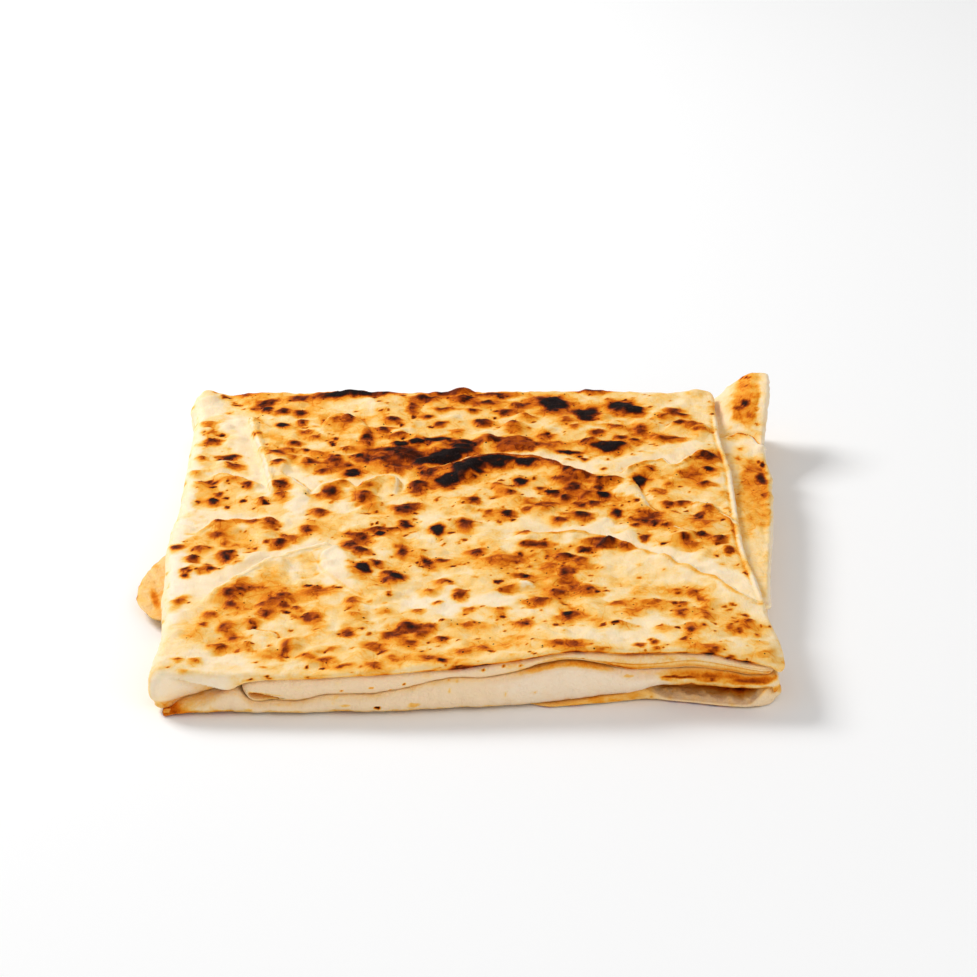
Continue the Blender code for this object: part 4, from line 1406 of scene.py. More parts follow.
@dataclass
class TopSheet(Ply):
    """The blistered upper side, folded down the left and the rear."""

    pitch: float = 0.8
    side_nose: float = 5
    rear_nose: float = 3.6
    front_nose: float = 2
    cheek_nose: float = 3.4
    cheek_end: float = -76
    cheek_fold: float = 4.6
    cheek_set_back: float = 3.2
    ceiling: float = 20.2
    lip_crease: Rows = (
        (-101, 12.6), (-93.2, 11.9), (-90.6, 11.2), (-86.4, 10.3), (-82, 9), (-79, 8.3), (-75, 8.6))
    wall_creases: tuple[float, ...] = (4.4, 8.6)
    wander: float = 0.28

    def front_radius(self, x: Array) -> Array:
        """Return the radius of the front rim, which is fuller round the left cheek."""
        return self.front_nose + self.cheek_nose * (1 - rise(-94, self.cheek_end, x))

    def upper_face(self, x: Array, y: Array) -> Array:
        """Return the upper face, with the hump of the folded ends at the rear left corner."""
        knob = 2 * np.exp(-(((x + 99.5) / 5) ** 2) - (((y - 111) / 7) ** 2))
        return FORM.sheet_top(x, y) + knob

    def slab(self) -> Slab:
        """Return the sheet's plain shape.

        Returns:
            The shape.
        """
        return Slab(
            (FORM.left_edge, FORM.lip_right, FORM.lip_front, FORM.rear_edge),
            (FORM.sheet_underside, self.upper_face),
            (self.side_nose, 1.6, self.front_radius, self.rear_nose),
            nose(self.side_nose, 13), nose(1.6, 7, 5, 0.55),
            nose(self.front_nose, 9, 8, 0.5), nose(self.rear_nose, 12),
            self.pitch, 5, Underside.COARSE, 5)

    def flat(self, skin: Skin) -> tuple[Array, Array]:
        """Return where the points lie on the flat sheet of the hot plate."""
        x, y, z = skin.place.T
        return x, self.plate.settle(y, z)

    def creased(self, skin: Skin) -> Iterator[tuple[Crease, Array, Array, Array]]:
        """Return each crease with the distances, strengths and shares that it has at the points."""
        places = self.plate.warped(*self.flat(skin), self.wander)
        return ((crease, *crease.measure(*places)) for crease in CREASES)

    def walls(self, skin: Skin) -> Array:
        """Return 1 on the walls down the left and rear, and 0 on top and along the front."""
        aside = np.maximum(-skin.normal[:, 0], skin.normal[:, 1])
        return rise(0.45, 0.85, aside) * (skin.place[:, 1] > -98)

    def relief(self, skin: Skin) -> Array:
        """Shape creases, blisters and wrinkles on top, and the folds down the walls.

        Args:
            skin: The points.

        Returns:
            The relief in millimetres.
        """
        x, y, z = skin.place.T
        u, v = skin.wrap()
        flat = self.flat(skin)
        bumps = self.plate.lift(*flat, self.plate.bake(*flat))
        for crease, gap, hold, _ in self.creased(skin):
            bumps = bumps + crease.lift(gap, hold)
        facing = rise(0.1, 0.7, skin.up)
        near_rim = rise(0, 7, FORM.lip_right(y) - x) * rise(0, 10, y - FORM.lip_front(x))
        relief = bumps * facing * mix(0.35, 1, near_rim)
        soft = 0.45 * BROAD.layers(u, v, 14, 2) + 0.1 * FINE.at(u, v, 3)
        relief = relief + soft * (1 - facing) + self.right_hem(skin)[0]
        return np.where(skin.upper | (z > 2), relief + self.folds(skin), 0)

    def right_hem(self, skin: Skin) -> tuple[Array, Array]:
        """Shape the ridge along the right lip, over the flap.

        Args:
            skin: The points.

        Returns:
            Its relief and its browning.
        """
        x, y, _ = skin.place.T
        inside = FORM.lip_right(y) - x
        kept = rise(-62, -48, y) * rise(96, 84, y) * skin.upper
        kept = kept * rise(0, 0.4, skin.up)
        broken = 0.7 + 0.8 * BROAD.at(0 * y, y, 9)
        relief = 0.3 * swell(inside, 0.8, 0.7) - 0.35 * swell(inside, 2.2, 0.5)
        browning = 0.24 * broken * swell(inside, 2.3, 0.45) - 0.06 * swell(inside, 0.9, 0.7)
        return kept * relief, kept * browning

    def folds(self, skin: Skin) -> Array:
        """Shape the wall creases, and the lip that laps over the cheek at the front left.

        Args:
            skin: The points.

        Returns:
            The relief in millimetres.
        """
        x, y, z = skin.place.T
        along = x + y
        folds = np.zeros(len(x))
        for k, height in enumerate(self.wall_creases):
            line = height + 1.3 * np.sin(along / 31 + 2 * k) + 0.5 * np.sin(along / 9 + k)
            folds = folds - 0.75 * swell(z, line, 0.55) - 0.5 * rise(0.2, -0.8, z - line)
        folds = folds * self.walls(skin)
        cheek = skin.ahead(0.25, 0.7) * rise(-101.5, -92, x) * rise(-73.5, -77, x)
        lapped = 0.6 * swell(z, self.lap_line(x) + 0.9, 0.9)
        corner = rise(0.3, 0.8, np.hypot(skin.normal[:, 0], skin.normal[:, 1])) * rise(-86, -92, x)
        tucked = -0.5 * rise(0.3, -1.6, z - self.cheek_fold) * corner * rise(-88, -94, y)
        return folds + cheek * lapped + tucked

    def tone(self, skin: Skin) -> Array:
        """Work out the browning before the creases, with painted shade along and under the lip at the front
        left.

        Args:
            skin: The points.

        Returns:
            How baked each point is.
        """
        x, _, z = skin.place.T
        baked = mix(self.plate.bake(*self.flat(skin)), skin.patches(0.15, 0.3, 40), self.walls(skin))
        baked = mix(baked, skin.patches(0.22, 0.3, 12), rise(0, -0.5, skin.up) * (z < 10))
        ahead = skin.ahead(0.3, 0.8)
        cheek = ahead * rise(-72, -80, x) * rise(15, 12.5, z)
        baked = mix(baked, skin.patches(0.1, 0.05, 5), cheek)
        low = rise(self.cheek_fold + 0.4, self.cheek_fold - 1.5, z) * rise(-84, -92, x)
        baked = baked + 0.22 * low * ahead
        lap = self.lap_line(x)
        # Painted shade: a dark line along the lower edge of the lap, and the cheek just below it darkened.
        gap = rise(-93, -80, x) * rise(-75, -78, x)
        baked = baked + 0.9 * gap * swell(z, lap - 0.35, 0.45) * ahead
        shade_under_lip = rise(-90, -80, x) * rise(-73, -77, x) * rise(0, -1, z - lap)
        baked = baked + 0.42 * shade_under_lip * ahead + self.lip_browning_and_shade(skin) * ahead
        return baked + self.right_hem(skin)[1]

    def paint(self, skin: Skin) -> dict[str, Array]:
        """Work out the browning and the marks of the creases.

        Args:
            skin: The points.

        Returns:
            The numbers that the finish reads.
        """
        baked = self.tone(skin)
        none = np.zeros(len(baked))
        edge, hold, dip_shade = none + FAR_OFF, none, none
        on_top = 1 - self.walls(skin)
        lumps = BROAD.layers(*self.flat(skin), 9, 2)
        for crease, gap, strength, along in self.creased(skin):
            strength = strength * on_top
            width = mix(*crease.pale, along) * (1 + 0.6 * lumps)
            raw = strength * rise(0.1, -0.3, gap) * rise(-width - 2.5, -width, gap) * rise(0.2, 1, width)
            baked = mix(baked, 0.13 + 0.07 * lumps, 0.9 * raw)
            rim = strength * rise(0.2, 0.9, gap) * rise(3.6, 1.4, gap)
            baked = mix(baked, crease.rim, 0.75 * crease.rub * rim * np.clip(0.8 + lumps, 0.3, 1))
            nearer = (np.abs(gap) < np.abs(edge)) & (strength > 0.02)
            edge, hold = np.where(nearer, gap, edge), np.where(nearer, strength * crease.rub, hold)
            # The line in each dip is painted shade; this keeps how dark it is.
            dip_shade = np.where(nearer, strength * crease.dip_shade, dip_shade)
        beside = rise(MARK_REACH - 0.1, 1.7, np.abs(edge))
        return {"bake": np.clip(baked, 0, 1.15), "edge": np.clip(edge, -MARK_REACH, MARK_REACH),
                "edge_hold": hold * beside, "edge_dip_shade": dip_shade * beside}

    def lip_browning_and_shade(self, skin: Skin) -> Array:
        """Work out the brown line along the front lip, partly browned dough and partly painted shade under
        the lip.

        Args:
            skin: The points.

        Returns:
            How much browner each point is.
        """
        x, _, z = skin.place.T
        reach = 0.34 * swell(x, 25, 22) + 0.3 * swell(x, -15, 14)
        # The constant part is raised with painted shade under the lip; the swells are browned dough.
        reach = reach + 0.32 * swell(x, 68, 14) + 0.22
        broken = 0.6 + 0.9 * BROAD.at(x, 0 * x, 6)
        return reach * broken * swell(z - FORM.lip_line(x), 0.7, 0.55) * (x > -74)

    def lap_line(self, x: Array) -> Array:
        """Return the height of the lip that laps over the cheek."""
        return flowing(x, self.lip_crease, 1) + 0.2 * np.sin(x / 2.3)

    def adjust(self, skin: Skin) -> Array:
        """Set the cheek back under its lip, and keep the sheet inside the packet's own height.

        Args:
            skin: The points.

        Returns:
            The final places.
        """
        x, y, z = skin.place.T
        below = rise(0.25, -0.45, z - self.lap_line(x)) * (skin.normal[:, 1] < 0.1)
        below = below * rise(-100, -90, x) * rise(-74.5, -77, x) * (y < -92)
        return np.stack([x, y + self.cheek_set_back * below, np.minimum(z, self.ceiling)], -1)


@dataclass
class MiddlePly(Ply):
    """The ply under the top sheet, whose left end curls into a small open loop."""

    start: float = -74
    hollow: tuple[float, float] = (-69.6, 6.1)
    hollow_height: float = 1.15
    hollow_depth: float = 4
    specks: Rows = (
        (-34, 9.2, 0.5), (-28, 7.6, 0.7), (-21, 8.4, 0.45), (0.8, 13.8, 0.5), (6.4, 14.6, 0.5),
        (12.2, 14.5, 0.5), (-24, 10.3, 0.4), (-43, 8.2, 0.35), (31, 15.9, 0.5), (38, 14.6, 0.4))

    def lower_face(self, x: Array, y: Array) -> Array:
        """Return the ply's underside, which stands off the fold below where a gap is open."""
        open_gap = rise(8, 20, x) * rise(46, 34, x) * rise(9, 1, y - FORM.front_edge(x))
        return FORM.fold_top(x, y) + FORM.gap + 0.9 * open_gap

    def slab(self) -> Slab:
        """Return the ply's plain shape.

        Returns:
            The shape.
        """
        return Slab(
            (steady(self.start), lambda y: FORM.right_edge(y) - 2, FORM.middle_front, FORM.inner_end),
            (self.lower_face, FORM.middle_top), (2.4, 1.8, 2, 1.8),
            nose(2.4, 6, 9, 0.6), nose(1.8, 6, 5, 0.8), nose(2, 14, 60, 0.6, 1.25), nose(1.8, 3),
            0.9, 4)

    def share(self, skin: Skin) -> Array:
        """Return how high points lie between the ply's two faces, 0 to 1.

        Args:
            skin: The points.

        Returns:
            The shares.
        """
        x, y, z = skin.place.T
        low = FORM.fold_top(x, y) + FORM.gap
        return (z - low) / np.maximum(FORM.middle_top(x, y) - low, 0.5)

    def seam(self, x: Array) -> Array:
        """Return how high the seam between its layers runs, as a share of the ply."""
        return 0.52 + 0.1 * np.sin(x / 9) + 0.05 * np.sin(x / 3.1)

    def hole(self, skin: Skin) -> Array:
        """Find the open loop at the left end, which narrows to the right.

        Args:
            skin: The points.

        Returns:
            1 inside the loop and 0 outside it.
        """
        x, _, z = skin.place.T
        off = x - self.hollow[0]
        reach = np.where(off < 0, off / 2.4, off / 8)
        line = self.hollow[1] - 0.1 * off
        tall = (z - line) / (self.hollow_height * np.clip(1 - 0.75 * np.clip(reach, 0, 1), 0.1, 1))
        return rise(1.15, 0.75, np.hypot(reach, tall))

    def relief(self, skin: Skin) -> Array:
        """Shape waves, the seams between its layers, and a crimp beside the loop.

        Args:
            skin: The points.

        Returns:
            The relief in millimetres.
        """
        x, _, z = skin.place.T
        u, v = skin.wrap()
        waves = 0.3 * BROAD.layers(u + 80, v, 9, 3) + 0.1 * FINE.at(u, 0.4 * v, 2.2)
        share, seam = self.share(skin), self.seam(x)
        seams = -0.55 * swell(share, seam, 0.07) - 0.35 * rise(0.05, -0.05, share - seam)
        fainter = -0.3 * swell(share, 0.78 - 0.06 * np.sin(x / 5), 0.05) * rise(52, 60, x)
        crimp = -0.5 * swell(x - 0.5 * z, -64, 0.6) * rise(0.55, 0.75, share)
        return waves + (rise(14, 24, x) * seams + fainter + crimp) * skin.ahead(0.2, 0.7)

    def adjust(self, skin: Skin) -> Array:
        """Return the final places, with the loop at the left end opened straight back."""
        x, y, z = skin.place.T
        return np.stack([x, y + self.hollow_depth * self.hole(skin) * (skin.normal[:, 1] < 0.2), z], -1)

    def paint(self, skin: Skin) -> dict[str, Array]:
        """Work out a pale tone with brown lines at the seams, painted shade above the gap to the fold and
        inside the loop, and a few specks.

        Args:
            skin: The points.

        Returns:
            The numbers that the finish reads.
        """
        x, _, z = skin.place.T
        baked = skin.patches(0.13, 0.1, 7) + 0.11 * rise(0, 22, x)
        share = self.share(skin)
        ahead = skin.ahead(0.2, 0.7)
        baked = baked + 0.16 * rise(5, 30, x) * rise(0.75, 0.2, share) * ahead
        low_edge = 0.28 * swell(share, 0.04, 0.1) * ahead * (0.5 + 0.8 * BROAD.at(x, z, 7))
        seam = 0.2 * swell(share, self.seam(x), 0.05) * rise(14, 24, x) * ahead
        # Painted shadow: darker low on the face, where the ply stands off the lower fold.
        gap = rise(2, 16, x) * rise(50, 36, x) * rise(0.35, 0, share) * ahead
        baked = baked + 0.34 * gap + low_edge + seam
        # Painted shade inside the open loop, darker towards its top, with a thin brown line along its brow.
        brow = self.hollow[1] + self.hollow_height - 0.1 * (x - self.hollow[0])
        near_brow = swell(z, brow + 0.1, 0.3) * rise(-72.5, -71, x) * rise(-59, -64, x)
        baked = baked + self.hole(skin) * (0.26 + 0.24 * rise(-1.6, -0.3, z - brow)) + 0.3 * near_brow * ahead
        for left, low, size in self.specks:
            baked = np.maximum(baked, 0.72 * rise(1.6, 0.5, np.hypot(x - left, z - low) / size) * ahead)
        return {"bake": baked}


@dataclass
class LowerFold(Ply):
    """The broad smooth fold along the front, which lifts off the base at the right."""

    pinhole: tuple[float, float] = (-32.2, 2.6)
    pinhole_radius: float = 0.6
    # Stains as x, z, width, height and how baked; the one at (91, 10.2) is painted shade in the notch between
    # the sheet's tip and the fold.
    stains_and_shade: Rows = (
        (-21, 3.2, 2.2, 1.1, 0.42), (-72, 1.8, 1.4, 0.8, 0.36), (-42, 3.6, 1.6, 0.5, 0.38),
        (-90, 1, 8, 1.2, 0.3), (57, 9.4, 2.4, 0.9, 0.46), (61.5, 9.9, 6, 0.45, 0.66),
        (69.5, 9.7, 4.2, 1.5, 0.54), (71, 9.3, 1, 0.6, 0.72), (80, 9.2, 6, 0.9, 0.54),
        (86, 8.8, 2.6, 0.7, 0.5), (45, 10, 2, 0.6, 0.34), (91, 10.2, 0.7, 0.5, 0.8),
        (7, 5.8, 0.5, 1.6, 0.36), (-10, 7.8, 0.5, 1, 0.36), (16, 6, 0.6, 0.6, 0.4))

    def slab(self) -> Slab:
        """Return the fold's plain shape.

        Returns:
            The shape.
        """
        hook = FORM.hook
        return Slab(
            (FORM.fold_left, FORM.right_edge, FORM.front_edge, FORM.inner_end),
            (FORM.fold_lower, FORM.fold_top), (2.5, hook - 0.9, 3.6, 2.5),
            nose(2.5, 5, 6, 0.8), [*nose(hook - 0.9, 8), hook - 0.6, hook - 0.3, hook, hook + 0.5],
            nose(3.6, 18, 60, 0.7, 1.25), nose(2.5, 3), 0.9, 1)

    def relief(self, skin: Skin) -> Array:
        """Shape slow waves, fine upright wrinkles, and the pinhole.

        Args:
            skin: The points.

        Returns:
            The relief in millimetres.
        """
        x, y, z = skin.place.T
        u, v = skin.wrap()
        ahead = rise(0.2, 0.7, np.maximum(-skin.normal[:, 1], skin.normal[:, 0]))
        waves = 0.42 * BROAD.layers(u, v + 60, 11, 3)
        wrinkles = 0.2 * FINE.layers(x - y, 0.22 * z, 2.2, 2)
        crimps = 0.3 * FINE.ridges(x, 0.35 * z + 40, 6)
        hole = rise(1.5, 0.5, np.hypot(x - self.pinhole[0], z - self.pinhole[1]) / self.pinhole_radius)
        return waves + (wrinkles - crimps - hole) * ahead

    def paint(self, skin: Skin) -> dict[str, Array]:
        """Work out a pale tone that turns golden along the lower edge, with stains, and painted shade under
        the middle ply and in a notch.

        Args:
            skin: The points.

        Returns:
            The numbers that the finish reads.
        """
        x, y, z = skin.place.T
        ahead = skin.ahead(0.1, 0.5)
        baked = skin.patches(0.09, 0.08, 21) - 0.19 * rise(-10, 30, x) * rise(60, 52, x)
        # Along its top edge the fold is browned, and from x 6 to 48 it is darkened more with painted shadow
        # from the gap under the middle ply.
        brow = swell(z, FORM.fold_top(x, y) - 0.2, 1)
        baked = baked + brow * (0.14 + 0.4 * rise(6, 18, x) * rise(48, 36, x))
        baked = baked + 0.14 * rise(-60, -96, x) * rise(7, 1, z)
        edge = 0.26 * rise(1.7, 0.2, z - FORM.fold_underside(x, y)) * (0.8 + 0.7 * BROAD.at(x, z, 9))
        baked = baked + edge * (skin.normal[:, 1] < 0.2)
        ledge = rise(52, 60, x) * rise(12, 10.5, z) * ahead
        baked = baked + (0.22 + 0.18 * BROAD.at(x, 2 * z, 5)) * ledge
        near = x + 0.5 * FINE.at(x, 3 * z, 2)
        tall = z + 0.4 * FINE.at(z, x, 2)
        for left, low, wide, high, depth in self.stains_and_shade:
            reach = np.hypot((near - left) / wide, (tall - low) / high)
            baked = baked + (depth - baked) * rise(1.3, 0.5, reach) * ahead * (depth > baked)
        off_x, off_z = x - self.pinhole[0], (z - self.pinhole[1]) / 1.3
        baked = np.maximum(baked, rise(1.5, 0.7, np.hypot(off_x, off_z) / self.pinhole_radius) * ahead)
        top = rise(0.2, 0.8, skin.up) * rise(40, 55, x) * rise(-92, -100, y)
        return {"bake": baked + 0.2 * top}


@dataclass
class BottomPly(Ply):
    """The base ply, browned where it lay on the plate, and the floor of the open pocket."""

    def slab(self) -> Slab:
        """Return the ply's plain shape.

        Returns:
            The shape.
        """
        return Slab(
            (steady(FORM.inner_left), lambda y: FORM.right_edge(y) - 0.3, FORM.base_front, FORM.inner_end),
            (steady(0), FORM.base_top), (1, 1.4, 1, 1),
            nose(1, 4), [*nose(1.4, 6), 1.8, 2.2, 2.6, *band(2.6, 16, 0.7)],
            nose(1, 8, 24, 0.6, 1.08), nose(1, 4), 1.5, 7, right_corner=7)

    def wrinkles(self, skin: Skin) -> Array:
        """Return the wrinkles that run into the pocket."""
        x, y, _ = skin.place.T
        return FINE.ridges(x + 0.3 * y, 0.25 * y, 5)

    def relief(self, skin: Skin) -> Array:
        """Shape wrinkles in the pocket and shallow blisters underneath.

        Args:
            skin: The points.

        Returns:
            The relief in millimetres.
        """
        x, y, _ = skin.place.T
        u, v = skin.wrap()
        waves = 0.3 * BROAD.layers(u + 33, v, 7, 3)
        pocket = rise(46, 56, x) * rise(-86, -90, y) * skin.upper
        pocket = pocket * rise(1, 3.5, y - FORM.base_front(x))
        below = -0.5 * np.clip(BROAD.layers(x, y, 12, 3) + 0.15, 0, 0.7)
        above = 0.5 * waves + pocket * (waves + 1.4 * self.wrinkles(skin))
        return np.where(skin.up < -0.6, below, above)

    def paint(self, skin: Skin) -> dict[str, Array]:
        """Work out a tan edge, a pocket darkened further in and along its wrinkles with painted shade, and a
        browned underside.

        Args:
            skin: The points.

        Returns:
            The numbers that the finish reads.
        """
        x, y, _ = skin.place.T
        behind = y - FORM.base_front(x)
        # Painted shade: the pocket's floor darkens further in, on its right inner wall and along its
        # wrinkles.
        inward_shade = rise(2.5, 14, behind) * rise(36, 22, behind) * (0.7 + 0.5 * rise(66, 84, x))
        pocket = rise(46, 56, x) * skin.upper * rise(0, 0.5, skin.up)
        tan = 0.34 - 0.2 * rise(48, 58, x) + swell(x, 32, 15, 0.05)
        baked = skin.patches(0, 0.12, 51) + tan + 0.47 * pocket * inward_shade
        corner = rise(72, 80, x) * rise(90, 86, x)
        baked = baked + 0.1 * pocket * corner * rise(1.5, 6, behind) * rise(36, 22, behind)
        baked = baked + 0.12 * pocket * self.wrinkles(skin)
        mirrored = self.plate.bake(-x - 6, -y + 4)
        return {"bake": mix(baked, 0.9 * mirrored, rise(-0.3, -0.8, skin.up))}


@dataclass
class RightFlap(Ply):
    """The end of the sheet that is folded in along the right side, with a raised rear corner."""

    spots: Rows = (
        (94.2, 109, 3.6, 9, 0.98, 0), (92, 104.5, 6, 7, 0.74, 0), (95, 99, 3.6, 10, 0.66, 0),
        (95.6, 133, 5, 2, 0.74, 0), (95.6, 125, 3.6, 1.4, 0.72, 0),
        (87.5, 78.5, 4, 1.6, 0.74, 30), (90.5, 81, 6, 1.8, 0.84, 0), (94, 80, 4, 1.4, 0.8, -40),
        (96, 98.5, 3, 1, 0.68, -60), (97.8, 90, 3, 1, 0.66, -75), (96, 57, 1.2, 2.5, DARK, 0),
        (97.6, 54.5, 1.6, 6, 0.92, 0), (96.4, 42, 4.2, 16, 0.9, 4), (96.3, 28, 2.4, 10, 0.66, 0),
        (92, 50, 5, 10, 0.56, 0), (92.6, 39, 4, 9, 0.56, 0), (93.5, 24, 5, 12, 0.46, 0),
        (95, 12, 2, 4, 0.52, 0), (89.5, 60, 1.4, 6, 0.58, 0), (91, 68, 3, 3, 0.5, 0),
        (93, 116, 4, 8, 0.5, 0), (89, 30, 1.2, 10, 0.5, 0))
    zones: Rows = (
        (93.8, 104, 11, 30, 0.48), (96, 122, 8, 22, 0.46), (96, 133, 9, 12, 0.42), (88, 5, 6, 60, 0.36),
        (94, 40, 10, 38, 0.52), (93.5, 12, 9, 24, 0.4), (99.8, 100, 3, 28, 0.08), (86.5, 112, 6, 46, 0.12),
        # The last zone, the flap's front tip, is darkened partly as painted shade.
        (92, 68.5, 14, 12, 0.1), (92, -26, 14, 48, 0.25))
    seam: Crease = Crease(((101, 66), (98, 71), (95, 79), (92, 82), (89, 81), (85, 77), (82, 76)),
                          0.9, 4, 0.7, 0.8, 0.06, (0, 0))

    def slab(self) -> Slab:
        """Return the flap's plain shape.

        Returns:
            The shape.
        """
        return Slab(
            (steady(FORM.flap_inner), FORM.flap_right, steady(FORM.flap_front), steady(FORM.flap_rear)),
            (FORM.flap_bottom, FORM.flap_top), (1.2, 1.5, 1.6, 1.5),
            nose(1.2, 3), nose(1.5, 8, 5, 0.55), nose(1.6, 6), nose(1.5, 7, 5, 0.6), 0.7, 2)

    def relief(self, skin: Skin) -> Array:
        """Shape waves, a rolled ear on the outer edge, and the seam of the rear corner.

        Args:
            skin: The points.

        Returns:
            The relief in millimetres.
        """
        x, y, z = skin.place.T
        flat_y = self.plate.settle(y, z)
        u, v = skin.wrap()
        waves = 0.55 * BROAD.layers(u, v + 15, 11, 3) + 0.1 * FINE.at(u, v, 2.4)
        outer = rise(5, 0.5, FORM.flap_right(y) - x)
        rolled = 0.3 * swell(y, 42, 7) * outer + 0.35 * outer * rise(70, 100, y)
        gap, hold, _ = self.seam.measure(x, flat_y)
        crimps = -0.3 * FINE.ridges(1.6 * x, 0.5 * flat_y, 7)
        return np.where(skin.upper, waves + rolled + self.seam.lift(gap, hold) + crimps, 0.3 * waves)

    def paint(self, skin: Skin) -> dict[str, Array]:
        """Work out the flap's own browning, and the marks of its seam.

        Args:
            skin: The points.

        Returns:
            The numbers that the finish reads.
        """
        x, y, z = skin.place.T
        flat_y = self.plate.settle(y, z)
        lumps = BROAD.layers(x, flat_y, 9, 3)
        tone = skin.patches(0.18, 0.14, 63)
        near = self.plate.warped(x, flat_y, 0.9)
        for zone in self.zones:
            tone = mix(tone, zone[4] * (1 + 0.45 * lumps), rise(1.2, 0.75, turned(*near, zone)))
        tone = tone * (1 - 0.6 * rise(1.6, 0.3, FORM.flap_right(y) - x))
        near = self.plate.warped(x, flat_y, 0.5)
        for left, low, width, length, depth, turn in self.spots:
            reach = turned(*near, (left, low, width + 1.2, length + 1.6, depth, turn))
            wide = turned(*near, (left, low, width + 6, length + 7, depth, turn))
            tone = tone + (0.52 - tone) * 0.6 * np.exp(-1.5 * wide**2) * (tone < 0.52)
            tone = np.maximum(tone, depth * (1 - rise(0.2, 1.4, reach)))
        below = rise(0, -0.6, skin.up)
        gap, hold, _ = self.seam.measure(x, flat_y)
        # The seam's dip gets the same line of painted shade as the creases on the sheet.
        mark = hold * (1 - below)
        baked = mix(tone, skin.patches(0.2, 0.2, 3), below)
        return {"bake": baked, "edge": gap, "edge_hold": mark, "edge_dip_shade": mark}


@dataclass
class Leaf:
    """A pointed leaf that narrows towards its tip."""

    columns: int = 34
    rows: int = 60
    thick: float = 2.4
    middle: float = 2.6
    tip_lift: float = 1.4
    narrowing: float = 0.84
    bluntness: float = 3.6

    def build(self) -> Shell:
        """Shape the leaf.

        Returns:
            The points, the faces, and a mark of which points lie on the upper face.
        """
        outwards = np.sin(0.5 * math.pi * np.linspace(0, 1, self.columns))
        sideways = np.linspace(0, 1, self.rows)
        out, across = np.meshgrid(outwards, sideways, indexing="ij")
        narrow = 1 - self.narrowing * out**self.bluntness
        y = mix(FORM.tab_tip, mix(FORM.tab_front, FORM.tab_rear, across), narrow)
        x = mix(FORM.inner_left - 2.2, FORM.left - FORM.tab_reach, out)
        rim = np.sqrt(np.clip(np.sin(math.pi * across), 0, 1)) * rounding(1 - out, 0.12)
        half = 0.5 * self.thick * rim * (1 - 0.35 * out) * rounding(out, 0.05)
        z = self.middle + self.tip_lift * out * out
        upper = np.arange(x.size).reshape(x.shape)
        edge = np.ones_like(upper, bool)
        edge[1:-1, 1:-1] = False
        lower = np.where(edge, upper, -1)
        lower[~edge] = x.size + np.arange(int((~edge).sum()))
        tops = np.stack([x, y, z + half], -1).reshape(-1, 3)
        bottoms = np.stack([x, y, z - half], -1)[~edge]
        whole = np.ones((self.columns - 1, self.rows - 1), bool)
        faces = Slab.quads(upper, whole, True) + Slab.quads(lower, whole, False)
        return np.vstack([tops, bottoms]), faces, np.arange(len(tops) + len(bottoms)) < len(tops)


@dataclass
class LeftTab(Ply):
    """The pointed corner of an inner ply that pokes out at the left."""

    streak: tuple[float, ...] = (-107, -30, 3, 16, 0, 12)

    def slab(self) -> Leaf:
        """Return the tab's plain shape."""
        return Leaf()

    def relief(self, skin: Skin) -> Array:
        """Return the ridges of its stacked layers."""
        x, y, z = skin.place.T
        return 0.4 * BROAD.layers(*skin.wrap(), 7, 3) - 0.35 * FINE.ridges(0.6 * x, 0.25 * y + 1.2 * z, 4)

    def paint(self, skin: Skin) -> dict[str, Array]:
        """Return a tan tone with an orange streak."""
        reach = turned(skin.place[:, 0], skin.place[:, 1], self.streak)
        return {"bake": skin.patches(0.3, 0.1, 90) + 0.26 * rise(1.3, 0.4, reach)}


